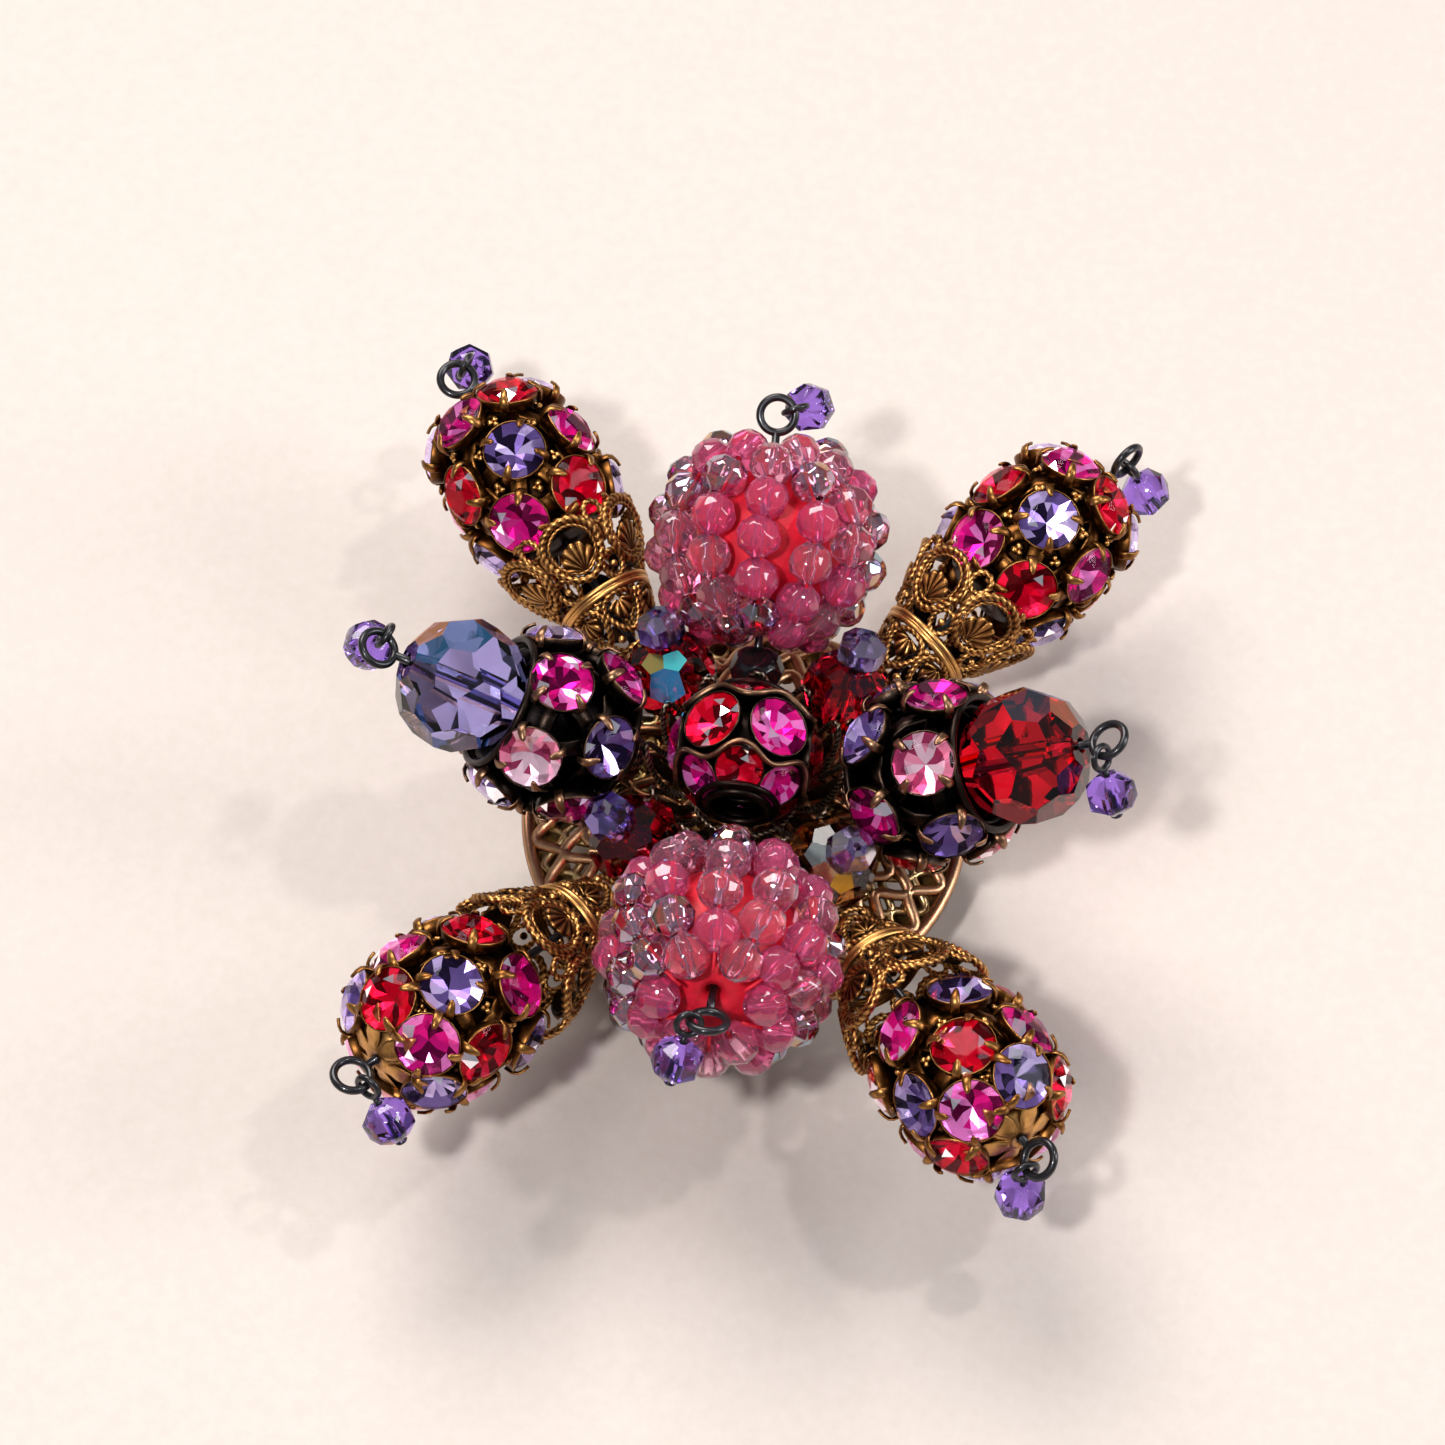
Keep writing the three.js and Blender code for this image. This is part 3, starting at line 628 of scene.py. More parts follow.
# ---- set stones -------------------------------------------------------------------------------------
def brilliant(radius):
    """A round brilliant: table, crown facets and pavilion; slot 0 is the clear crown, 1 the foiled back."""
    mesh = Mesh()
    height, depth = CROWN_RISE * radius, PAVILION * radius
    table = circle(TABLE * radius, height, 8)
    star = circle(STAR * radius, 0.58 * height, 8, 0.5)
    girdle = circle(radius, 0.0, 16)
    upper = [(*polar(0.66 * radius, a), -depth * rng.uniform(0.36, 0.46)) for a in ring_of(16, 0.5)]
    lower = [(*polar(0.34 * radius, a), -depth * rng.uniform(0.66, 0.76)) for a in ring_of(8)]
    verts = table + star + girdle + upper + lower + [(0, 0, -depth)]
    t, s, g, u, w, culet = 0, 8, 16, 32, 48, 56
    crown_faces = [list(range(8))]
    back = []
    for i in range(8):
        j, before = (i + 1) % 8, (i - 1) % 8
        even, odd, following = 2 * i, 2 * i + 1, (2 * i + 2) % 16
        crown_faces += [[t + i, s + i, t + j], [t + i, s + before, g + even, s + i],
                        [s + i, g + even, g + odd], [s + i, g + odd, g + following]]
        back += [[g + odd, g + even, u + even], [g + following, g + odd, u + odd],
                 [u + even, u + odd, g + odd], [u + odd, u + following, g + following],
                 [u + even, w + i, u + odd], [w + i, w + j, u + odd],
                 [u + odd, w + j, u + following], [w + j, w + i, culet]]
    tones = [rng.uniform(0.3, 0.85)] + [rng.random() for _ in crown_faces[1:]]
    for _ in range(8):
        left, right, lower_left, lower_right = (rng.random() for _ in range(4))
        tones += [left, right, left, right, lower_left, lower_left, lower_right, lower_left]
    mesh.add(verts, crown_faces + back, slots=[0] * len(crown_faces) + [1] * len(back), smooth=False,
             tones=tones)
    work = bmesh.new()
    made = [work.verts.new(v) for v in mesh.verts]
    rings = [work.faces.new([made[i] for i in face]) for face in mesh.faces]
    bmesh.ops.recalc_face_normals(work, faces=work.faces)
    mesh.faces = [[made.index(v) for v in face.verts] for face in rings]
    work.free()
    return mesh


def cup(mesh, radius, place, prongs, wear, prong_wear_and_shade):
    """The metal cup that holds a stone, with prongs bent over its edge."""
    r = radius
    profile = [(0.5 * r, -0.48 * r), (0.62 * r, -0.5 * r), (0.96 * r, -0.3 * r), (1.035 * r, -0.02 * r),
               (1.03 * r, 0.035 * r), (1.005 * r, 0.03 * r), (0.99 * r, -0.06 * r), (0.9 * r, -0.26 * r)]
    # Low values inside and under the cup paint shade there over its patina; the rim and the tops of the
    # prongs get rubbed, lit values.
    revolve(mesh, profile, 24, place, shade_and_wear=(0.1, 0.2, 0.35, wear, 0.7, 0.5, 0.3, 0.1))
    path = [(1.06 * r, -0.28 * r), (1.1 * r, 0.0), (1.04 * r, 0.16 * r), (0.9 * r, 0.27 * r),
            (0.76 * r, 0.33 * r), (0.68 * r, 0.36 * r)]
    widths = [0.15, 0.16, 0.15, 0.13, 0.1, 0.04]
    lean = math.radians(50)
    for angle in ring_of(prongs, 0.5):
        points = [Vector((*polar(x, angle), z)) for x, z in path]
        tube(mesh, points, r, 8, shape=lambda i, a: (widths[i], 0.055), up=direction(angle, lean),
             place=place, shade_and_wear=crest(prong_wear_and_shade, 0.3, -0.2))


class StoneSet:
    """The cage and the stones of one ball, gathered by colour."""

    def __init__(self, prongs, wear=0.44, prong_wear_and_shade=0.6):
        self.cage = Mesh()
        self.stones = {}
        self.prongs, self.wear, self.prong_wear_and_shade = prongs, wear, prong_wear_and_shade

    def set(self, radius, place, color):
        spin = Matrix.Rotation(rng.uniform(0, math.pi), 4, "Z")
        wobble = Matrix.Rotation(math.radians(rng.uniform(-4, 4)), 4, "X")
        seat = place @ wobble
        cup(self.cage, radius, seat, self.prongs, self.wear, self.prong_wear_and_shade)
        self.stones.setdefault(color, Mesh()).merge(brilliant(radius * 0.985), seat @ spin)

    def grains(self, seats, near, far, radius):
        """Grains of metal in the corners between three cups."""
        for spots in combinations([seat.translation for seat in seats], 3):
            middle = (spots[0] + spots[1] + spots[2]) / 3
            spread = [(middle - spot).length for spot in spots]
            if near < min(spread) and max(spread) < far:
                out = Vector((middle.x, middle.y, 0.4 * middle.z)).normalized()
                for turn in ring_of(3, rng.random()):
                    shift = out.orthogonal().normalized() * 0.3
                    shift.rotate(Matrix.Rotation(turn, 3, out))
                    dot(self.cage, middle - out * 0.1 + shift, radius * rng.uniform(0.7, 1.1), out)

    def links(self, seats, reach, depth, width):
        """Short webs of the cage between neighbouring cups."""
        feet = [(seat @ Vector((0, 0, -depth)), (seat.to_3x3() @ Vector((0, 0, 1))).normalized())
                for seat in seats]
        for (a, out_a), (b, out_b) in combinations(feet, 2):
            if (a - b).length > reach:
                continue
            out = (out_a + out_b).normalized()
            middle = (a + b) / 2 + out * 0.7
            path = [a.lerp(middle, k / 3) for k in range(3)] + [middle.lerp(b, k / 3) for k in range(4)]
            tube(self.cage, path, width, 8, shape=(1.0, 0.45), up=out, shade_and_wear=crest(0.5, 0.1))

    def pieces(self, name, place, metal, slot):
        """The cage and each colour of stone, as pieces that stand in for the CAD ball of that name."""
        piece(f"{name}_cage", moved(self.cage, place), [metal], slot, "brooch", name)
        for color, mesh in self.stones.items():
            piece(f"{name}_stones_{color}", moved(mesh, place), [CROWNS[color], FOILS[color]],
                  f"stone_{color}", "brooch", name)


# The three colours that each row of a brass ball repeats, from the loop inward.
USUAL_ROWS = ("fuchsia red tanzanite", "red tanzanite fuchsia", "fuchsia red tanzanite")
BRASS_COLOURS = {
    "upper_left": USUAL_ROWS,
    "upper_right": USUAL_ROWS,
    "lower_left": USUAL_ROWS,
    "lower_right": ("tanzanite fuchsia red", "fuchsia red tanzanite", "tanzanite fuchsia red"),
}


def brass_ball(name, place, roll, row_shift):
    """Three staggered rows of six stones in cups, with a petalled cap at the outer end."""
    stones = StoneSet(4)
    seats = []
    for row, (radius, height, tilt, turn) in enumerate(BRASS_ROWS):
        colours = BRASS_COLOURS[name][row]
        if row > 0:
            height += row_shift
        for i, angle in enumerate(ring_of(6, turn)):
            seat = on_ball(radius, height, angle + math.radians(roll), tilt)
            seats.append(seat)
            stones.set(STONE, seat, colours.split()[i % 3])
    stones.links(seats, 7.6, 1.7, 0.9)
    # The lining is a near-black inner sheet: painted shade where the gaps between the cups show the hollow
    # inside of the ball.
    lining = [(0.8, -6.9), (3.4, -6.6), (4.5, -4.2), (4.75, -1.0), (4.4, 2.2), (2.9, 4.7), (0.8, 6.2),
              (0.8, 5.9), (2.7, 4.4), (4.1, 2.1), (4.45, -1.0), (4.2, -4.0), (3.2, -6.3), (0.8, -6.6)]
    revolve(stones.cage, lining, 36, shade_and_wear=0.0)
    stones.grains(seats, 2.9, 4.2, 0.34)
    # The cap is bright on its top and dark beneath: a painted highlight and painted shade, over real patina.
    cap = [(0.45, 7.75), (1.0, 7.7), (2.1, 7.2), (2.9, 6.5), (2.75, 6.3), (1.9, 6.9), (0.9, 7.35),
           (0.45, 7.4)]
    revolve(stones.cage, cap, 24, shade_and_wear=(0.5, 0.7, 0.75, 0.8, 0.2, 0.1, 0.1, 0.2))
    leaf = [(0.8, 7.62), (2.2, 7.3), (3.6, 6.7), (4.5, 6.0)]
    for angle in ring_of(6):
        petal(stones.cage, leaf, angle, [0.3, 1.0, 0.8, 0.1], 0.09)
    inner = [(0.5, -7.3), (3.0, -7.2), (3.9, -6.7), (3.7, -6.4), (2.8, -6.9), (0.5, -7.0)]
    revolve(stones.cage, inner, 24, shade_and_wear=0.2)
    stones.pieces(f"brass_ball_{name}", place, BRASS, "antique_brass")


def petal(mesh, profile, angle, widths, thickness):
    """A flat leaf along a profile of (radius, height) points, standing round Z."""
    points = [Vector((*polar(radius, angle), height)) for radius, height in profile]
    steps = 8
    spans = [between(widths, i / steps) for i in range(steps + 1)]
    outward = Vector((math.cos(angle), math.sin(angle), 1.2)).normalized()
    tube(mesh, resample(points, steps, False), 1.0, 10, shape=lambda i, a: (spans[i], thickness), up=outward,
         shade_and_wear=crest(0.8, 0.4, 0.1))


DARK_COLOURS = {
    "left": ("rose fuchsia tanzanite fuchsia fuchsia tanzanite",
             "tanzanite fuchsia tanzanite fuchsia tanzanite fuchsia"),
    "right": ("fuchsia rose tanzanite red fuchsia tanzanite",
              "tanzanite fuchsia red tanzanite fuchsia tanzanite"),
}


def dark_ball(name, place, roll):
    """Two staggered rows of stones in a blackened cage that is open where the crystal sits."""
    stones = StoneSet(4, 0.62, 0.85)
    seats = []
    for side, colours in zip((1, -1), DARK_COLOURS[name]):
        for i, angle in enumerate(ring_of(6, 0.0 if side > 0 else 0.5)):
            seat = on_ball(DARK_ROW, side * DARK_ROW_HEIGHT, angle + math.radians(roll), side * DARK_ROW_TILT)
            seats.append(seat)
            stones.set(DARK_STONE, seat, colours.split()[i])
    stones.links(seats, 7.8, 1.7, 0.8)
    cage = stones.cage
    # The lining is a near-black inner sheet: painted shade behind the stones and in the gaps of the cage.
    lining = [(2.6, -6.3), (4.4, -4.8), (5.0, -2.0), (5.1, 2.0), (5.1, 4.6), (4.8, 4.6), (4.8, 2.0),
              (4.7, -2.0), (4.1, -4.6), (2.6, -5.9)]
    revolve(cage, lining, 36, shade_and_wear=0.0)
    for radius, height in ((5.6, 5.1), (5.2, -5.3)):
        hoop(cage, radius, height, 0.35, 0.45)
    back = [(1.2, -7.5), (2.9, -6.9), (5.0, -5.4), (4.7, -5.0), (2.7, -6.4), (1.2, -6.9)]
    revolve(cage, back, 36, shade_and_wear=0.3)
    for k in range(4):
        rope(cage, circle(1.7 + 0.18 * k, -8.0 + 0.32 * k, 32), 0.2, 0.7, up=(0, 0, 1))
    stones.pieces(f"dark_ball_{name}", place, DARK, "dark_metal")


def centre_ball():
    """The dark ball on top: a row of large stones round it, smaller ones towards its open ends."""
    place = Matrix.Translation((0, 0, BALL_Z)) @ Matrix.Rotation(math.pi / 2, 4, "X")
    stones = StoneSet(0)
    cage = stones.cage
    for i, angle in enumerate(ring_of(6)):
        stones.set(CENTRE_STONE, on_ball(BALL_SHELL + 0.1, 0, angle, 0), ("fuchsia", "red")[(i + 1) % 2])
    for side in (1, -1):
        for i, angle in enumerate(ring_of(6, 0.5)):
            reach, height = polar(SIDE_REACH, math.radians(SIDE_LATITUDE))
            seat = on_ball(reach, side * height, angle, side * SIDE_LATITUDE)
            stones.set(SIDE_STONE, seat, ("fuchsia", "red")[i % 2])
    arc = [math.radians(a) for a in range(-66, 67, 12)]
    wall = [polar(BALL_SHELL - 1.1, a) for a in arc] + [polar(BALL_SHELL - 1.6, a) for a in reversed(arc)]
    revolve(cage, wall, 48, shade_and_wear=0.3)
    for side in (1, -1):
        wave = []
        for angle in ring_of(96):
            latitude = side * math.radians(27 + 6 * math.cos(6 * angle))
            wave.append((*polar(6.1 * math.cos(latitude), angle), 6.1 * math.sin(latitude)))
        tube(cage, wave, 0.34, 10, closed=True, up=lambda i: wave[i], shape=(0.8, 1.5),
             shade_and_wear=crest(0.8, 0.3, 0.3))
        for radius, height, thick in ((2.5, 5.25, 0.42), (3.3, 4.95, 0.3)):
            hoop(cage, radius, side * height, thick, 0.4, sides=10)
    stones.pieces("centre_ball", place, DARK, "dark_metal")


# ---- filigree ---------------------------------------------------------------------------------------
def bell_radius(height):
    """The bell's own outline: narrow at its start, level at the waist, wide at the mouth."""
    marks = [(BELL_START, 2.1), (-17.5, 2.7), (-15.2, 3.6), (BELL_WAIST, 3.9), (-12.8, 4.3), (-10.8, 5.4),
             (-9.0, 6.2), (BELL_MOUTH, 6.6)]
    for (z0, r0), (z1, r1) in zip(marks, marks[1:]):
        if height <= z1:
            return r0 + (r1 - r0) * ((height - z0) / (z1 - z0))
    return marks[-1][1]


def bell_point(height, angle, lift=0.0):
    return Vector((*polar(bell_radius(height) + lift, angle), height))


def bell_loop(height, angle, half_height, half_width, steps=28, egg=0.0):
    """A closed outline laid on the bell round a middle point."""
    radius = bell_radius(height)
    points = []
    for t in ring_of(steps):
        across = half_width * (1 + egg * math.cos(t)) * math.sin(t) / radius
        points.append(bell_point(height + half_height * math.cos(t), angle + across))
    return points


def fan(mesh, height, angle, reach, half_width, flutes, base_shift, direction=1.0):
    """A fluted fan leaf on the bell, spreading from a base point."""
    thickness = 0.35
    radius = bell_radius(height)
    rows, columns = 7, flutes * 4
    verts, wear = [], []
    for layer in (0, 1):
        for i in range(rows + 1):
            share = 0.12 + 0.88 * i / rows
            for j in range(columns + 1):
                spread = (j / columns - 0.5) * math.radians(150)
                ridge = 0.5 + 0.5 * math.cos(2 * math.pi * flutes * j / columns)
                dz = direction * (base_shift + reach * share * math.cos(spread))
                da = half_width * share * math.sin(spread) / radius
                lift = (0.22 * ridge * share + 0.12 * math.sin(math.pi * share)) if layer == 0 else -thickness
                verts.append(bell_point(height + dz, angle + da, lift))
                # Flute grooves and the underside get low values, patina with painted shade; flute ridges get
                # high ones, rubbed metal with painted highlights.
                wear.append(0.15 + 0.7 * ridge if layer == 0 else 0.05)
    width = columns + 1
    layer_size = (rows + 1) * width
    faces = []
    for i in range(rows):
        for j in range(columns):
            a = i * width + j
            quad = [a, a + 1, a + width + 1, a + width]
            faces.append(quad)
            faces.append([layer_size + k for k in reversed(quad)])
    border = ([(0, j) for j in range(columns)] + [(i, columns) for i in range(rows)]
              + [(rows, j) for j in range(columns, 0, -1)] + [(i, 0) for i in range(rows, 0, -1)])
    for (i0, j0), (i1, j1) in pairs(border):
        a, b = i0 * width + j0, i1 * width + j1
        faces.append([b, a, layer_size + a, layer_size + b])
    mesh.add(verts, faces, wear=wear)


def dot(mesh, centre, radius, out):
    """A raised round grain, dark at its foot and bright on its top: painted shade and a painted highlight,
    over real patina.
    """
    place = Matrix.Translation(centre) @ facing(Vector(out).normalized())
    arc = [polar(radius, a) for a in (-0.6, 0.0, 0.6, 1.1, 1.45)]
    revolve(mesh, arc, 10, place, closed=False, shade_and_wear=(0.2, 0.4, 0.8, 0.95, 1.0))


def bell(name, place):
    """Two flared rows of rope-edged rings with fan leaves, joined at a smooth waist."""
    mesh = Mesh()
    half_step = math.pi / 6
    for angle in ring_of(6, 0.25):
        rope(mesh, bell_loop(MOUTH_RING_Z, angle, 2.55, 2.55), 0.34, 0.62)
        rope(mesh, bell_loop(MOUTH_RING_Z, angle, 2.0, 2.0), 0.16, 0.5, sides=6)
        fan(mesh, MOUTH_RING_Z, angle, 2.4, 1.9, 6, -1.95)
        gap = angle + half_step
        rope(mesh, bell_loop(-12.35, gap, 1.05, 0.95, 20), 0.24, 0.5)
        dot(mesh, bell_point(-12.35, gap), 0.35, bell_point(-12.35, gap) - Vector((0, 0, -12.35)))
        rope(mesh, bell_loop(-7.95, gap, 0.95, 0.85, 20), 0.24, 0.5)
        fan(mesh, -9.3, gap, 1.5, 0.95, 3, -1.2)
        for side in (-1, 1):
            dot(mesh, bell_point(-10.6, gap + side * 0.14, 0.05), 0.3, (*polar(1, gap), 0))
    for angle in ring_of(6, 0.5):
        rope(mesh, bell_loop(NECK_RING_Z, angle, 1.65, 1.5, 24, egg=0.25), 0.27, 0.52)
        fan(mesh, NECK_RING_Z, angle, 1.7, 1.15, 4, -1.1, -1.0)
        for height, grain in ((-18.0, 0.38), (-14.9, 0.32)):
            dot(mesh, bell_point(height, angle + half_step), grain, (*polar(1, angle), 0))
    # The waist hoops are bright on the outer face and dark on the face against the bell: a painted highlight
    # and painted shade.
    for height, thick in ((-14.15, 0.28), (-13.6, 0.28), (-13.88, 0.22)):
        hoop(mesh, bell_radius(height) + 0.05, height, thick,
             lambda i, a: 0.85 if math.cos(a) > 0.2 else 0.35, steps=64)
    end = [bell_point(BELL_START + 0.25, a) for a in ring_of(32)]
    rope(mesh, end, 0.26, 0.5)
    piece(f"bell_{name}", moved(mesh, place), [BRASS], "antique_brass", "brooch", f"filigree_bell_{name}")


def dome_height(radius):
    sphere = (DOME_RADIUS ** 2 + DOME_HEIGHT ** 2) / (2 * DOME_HEIGHT)
    return DOME_RIM_Z + DOME_HEIGHT - sphere + math.sqrt(sphere ** 2 - radius ** 2)


def base_dome():
    """Smooth wavy strands that meet crest to crest, so staggered long openings stay between them."""
    mesh = Mesh()
    rings = [(4.3, 1.05, 9), (6.4, 1.05, 9), (8.5, 1.05, 18), (10.6, 1.05, 18), (12.7, 1.05, 18),
             (14.8, 1.05, 24), (16.9, 1.05, 24)]
    lower = Mesh()
    for k, (radius, swing, waves) in enumerate(rings):
        # Rings under the centre ball get a lower top value: painted shade there. Each strand is brighter on
        # top than beneath: a painted highlight and painted shade, over real patina.
        shade_and_wear = crest(0.8 if radius > 12 else 0.45, 0.2)
        for layer, (sheet, depth, thick) in enumerate(((mesh, 0.25, 0.5), (lower, 1.0, 0.36))):
            path = []
            for angle in ring_of(waves * 10):
                reach = radius - 0.4 * layer + swing * math.cos(waves * angle + math.pi * (k + layer))
                path.append((*polar(reach, angle), dome_height(reach) - depth))
            tube(sheet, path, thick, 8, closed=True, up=(0, 0, 1), shape=(1.05, 0.85), shade_and_wear=shade_and_wear)
    for radius, thick in ((DOME_RADIUS - 0.5, 0.55), (3.0, 0.5)):
        hoop(mesh, radius, dome_height(radius) - 0.25, thick, crest(0.8, 0.3), steps=120, sides=10)
    top = DOME_RIM_Z + DOME_HEIGHT
    hub = [(0.5, top - 0.1), (3.0, top - 0.35), (3.0, top - 0.75), (0.5, top - 0.5)]
    revolve(mesh, hub, 36, shade_and_wear=0.4)
    piece("dome_strands", mesh, [COPPER], "copper_base", "brooch", "base_dome")
    piece("dome_inner_strands", lower, [GILT], "gilt_back", "brooch", "base_dome")


def rosette():
    """A cup of rope-edged petals that cradles the centre ball."""
    mesh = Mesh()
    profile = [(3.1, 6.4), (4.4, 6.5), (5.7, 6.75), (6.8, 7.8), (7.7, 9.5), (8.4, 11.8)]

    def on_petal(share, angle, width):
        radius, height = (between(values, share) for values in zip(*profile))
        return Vector((*polar(radius, angle + width / radius), height))

    for angle in ring_of(12):
        outline = []
        for k in range(41):
            t = k / 40
            share = math.sin(math.pi * t) ** 0.7
            side = 1.75 * math.cos(math.pi * t) * (0.5 + 0.5 * min(1.0, share * 1.6))
            outline.append(on_petal(min(1.0, share), angle, side))
        rope(mesh, outline, 0.24, 0.5, closed=False)
        leaf = [on_petal(s, angle, 0) for s in (0.2, 0.4, 0.6, 0.8, 0.9)]
        tube(mesh, leaf, 0.7, 10, shape=lambda i, a: ((0.25, 0.8, 1.0, 0.8, 0.2)[i], 0.16),
             up=(*polar(-1, angle), 1.0), shade_and_wear=0.5)
    for radius, height, thick in ((3.2, 6.4, 0.28), (4.6, 6.55, 0.22)):
        rope(mesh, circle(radius, height, 40), thick, 0.5)
    piece("rosette_petals", mesh, [BRONZE], "copper_base", "brooch", "centre_rosette")


# ---- beads, crystals and wire -----------------------------------------------------------------------
CRYSTAL_ROWS = [(60, 8, 0.0, 0.985), (27, 8, 0.5, 0.975), (-6, 8, 0.0, 0.965), (-34, 8, 0.5, 0.975),
                (-62, 8, 0.0, 0.985)]
ROUND_ROWS = [(58, 8, 0.0, 1.0), (22, 8, 0.5, 0.99), (-22, 8, 0.0, 0.99), (-58, 8, 0.5, 1.0)]
SMALL_ROWS = [(48, 6, 0.0, 0.98), (0, 7, 0.5, 1.0), (-48, 6, 0.5, 0.98)]
PINK_ROWS = [(52, 6, 0.0, 0.97), (18, 8, 0.5, 0.985), (-18, 8, 0.0, 0.985), (-52, 6, 0.5, 0.97)]


def faceted(radius, rows, pole, bore, soft=0.0):
    verts, faces = cut_solid(bead_planes(radius, rows, pole))
    verts, faces = bored(verts, faces, bore)
    if soft:
        verts, faces = softened(verts, faces, soft)
    mesh = Mesh()
    mesh.add(verts, faces, smooth=bool(soft))
    return mesh


def single(name, mesh, place, material, slot, body, *nodes):
    piece(name, moved(mesh, place), [material], slot, body, *nodes)


def coat_facing(bead, place, direction, limit):
    """Give a coat colour in turn to the facets that look a given way, and none to the others."""
    ahead = Vector(direction).normalized()
    turn = 0
    for i, face in enumerate(bead.faces):
        a, b, c = (place @ bead.verts[k] for k in face[:3])
        facing = (b - a).cross(c - a).normalized().dot(ahead)
        turn += facing > limit
        bead.tones[i] = (0.37, 0.62, 0.87)[turn % 3] if facing > limit else 0.1


def cut_crystal(name, place):
    """The large crystal beyond a dark ball; its coat shows on the facets that look up."""
    bead = faceted(CRYSTAL, CRYSTAL_ROWS, 0.96, 0.7)
    coat_facing(bead, place, (-0.1, 0.7, 0.7), 0.62)
    glass, slot = ("blue", "crystal_blue") if name == "left" else ("crimson", "crystal_red")
    single(f"cut_crystal_{name}", bead, place, GLASS[glass], slot, "brooch", f"crystal_{name}")


def bead_wrap(name, place):
    """Beads threaded in strands over the core from pole to pole; every other strand ends short."""
    variants = [faceted(BEAD, PINK_ROWS, 0.98, 0.4, 0.16) for _ in PINKS]
    groups = [Mesh() for _ in PINKS]
    threads = Mesh()
    for strand, turn in enumerate(ring_of(STRANDS)):
        count, first = (LONG_STRAND, SHORT_STRAND)[strand % 2]
        for row in range(count):
            lean = math.radians(first + BEAD_STEP * row + rng.uniform(-0.8, 0.8))
            spin = turn + math.radians(rng.uniform(-2.5, 2.5))
            reach = STRAND * math.sin(lean)
            spot = Vector((*polar(reach, spin), STRAND * math.cos(lean)))
            turned = facing(Vector((*polar(math.cos(lean), spin), -math.sin(lean))))
            roll = Matrix.Rotation(rng.uniform(0, math.pi), 4, "Z")
            size = Matrix.Scale(rng.uniform(0.95, 1.02), 4)
            kind = rng.choices(range(len(PINKS)), (5, 4, 3))[0]
            groups[kind].merge(variants[kind], place @ Matrix.Translation(spot) @ turned @ roll @ size)
        path = []
        for k in range(25):
            lean = math.radians(20 + 140 * k / 24)
            path.append(place @ Vector((*polar(STRAND * math.sin(lean), turn), STRAND * math.cos(lean))))
        tube(threads, path, 0.16, 6)
    for kind, mesh in enumerate(groups):
        piece(f"bead_wrap_{name}_{('clear', 'milky', 'coated')[kind]}", mesh, [PINKS[kind]], "pink_glass",
              "brooch", f"bead_wrap_{name}")
    piece(f"bead_wrap_{name}_threads", threads, [CORE_RED], "red_core", "brooch", f"bead_wrap_{name}")


def core(name, place):
    mesh = Mesh()
    arc = [math.radians(a) for a in range(-82, 83, 8)]
    profile = [polar(CORE, a) for a in arc]
    revolve(mesh, profile + [(0.7, 6.2), (0.7, -6.2)], 64)
    single(f"core_{name}", mesh, place, CORE_RED, "red_core", "brooch", f"pink_core_{name}")


def eye_pin(name, arm, start, loop_at, twist):
    """The wire through an arm, with a round eye at its outer end."""
    mesh = Mesh()
    turn = Matrix.Rotation(math.radians(twist), 4, "Z") @ Matrix.Rotation(math.pi / 2, 4, "X")
    tube(mesh, circle(EYE, 0, 56), WIRE, 12, closed=True, up=(0, 0, 1), place=arm @ along(loop_at) @ turn)
    shaft = [(0, 0, start + (loop_at - EYE - start) * k / 8) for k in range(9)]
    tube(mesh, shaft, WIRE, 12, place=arm, up=(1, 0, 0))
    piece(f"wire_eye_{name}", mesh, [BLACK_WIRE], "black_wire", "brooch", f"eye_pin_{name}")


def dangle(name):
    """The small bead that hangs from an eye: its place comes from its joint and its CAD bead."""
    joint = next(j for j in frame["joints"] if j["name"] == f"dangle_swing_{name}")
    contact = Vector(joint["pos_m"]) / MM
    hinge = Vector(joint["axis"]).normalized()
    low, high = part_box(f"dangle_bead_{name}")
    middle = (Vector(low) + Vector(high)) / 2 / MM
    hang = middle - contact
    hang = (hang - hinge * hang.dot(hinge)).normalized()
    side = hinge.cross(hang)
    place = Matrix.Translation(contact) @ axes(side, hinge, hang)
    link = Mesh()
    ring = [(LINK_MEAN * math.cos(a), 0, LINK_DROP + LINK_MEAN * math.sin(a)) for a in ring_of(40)]
    tube(link, ring, LINK_WIRE, 10, closed=True, up=(0, 1, 0), place=place)
    stem = [(0, 0, LINK_DROP + LINK_MEAN + 4.6 * k / 6) for k in range(7)]
    tube(link, stem, 0.25, 10, up=(1, 0, 0), place=place)
    head = [(0.28, 5.6), (0.5, 5.62), (0.55, 5.75), (0.42, 5.9), (0.15, 5.93)]
    revolve(link, head, 16, place, closed=False)
    body = f"dangle_{name}"
    piece(f"dangle_wire_{name}", link, [BLACK_WIRE], "black_wire", body, f"dangle_link_{name}")
    bead = faceted(DROP_BEAD, SMALL_ROWS, 0.92, 0.42, 0.05)
    single(f"dangle_glass_{name}", bead, place @ along(DROP_BEAD_AT), GLASS["violet"], "violet_glass", body,
           f"dangle_bead_{name}")


def accent(name, azimuth, reach, lean, glass):
    """An accent bead whose coat is on the facets that look up and forward, and its small end bead."""
    place = arm_matrix(lean, ACCENT_LEAN, (*polar(reach, math.radians(azimuth)), ACCENT_Z))
    slot = "olive_glass" if glass == "vitrail" else "crystal_red"
    bead = faceted(ACCENT, ROUND_ROWS, 0.9, 0.5)
    coat_facing(bead, place, (0, -0.6, 0.8), 0.8)
    single(f"accent_{name}", bead, place, GLASS[glass], slot, "brooch", f"accent_bead_{name}")
    tip = place @ along(0.86 * (ACCENT + 1.9) + 0.1)
    single(f"accent_end_{name}", faceted(TIP, SMALL_ROWS, 0.92, 0.4), tip, GLASS["tip"], "stone_tanzanite",
           "brooch", f"accent_tip_{name}")


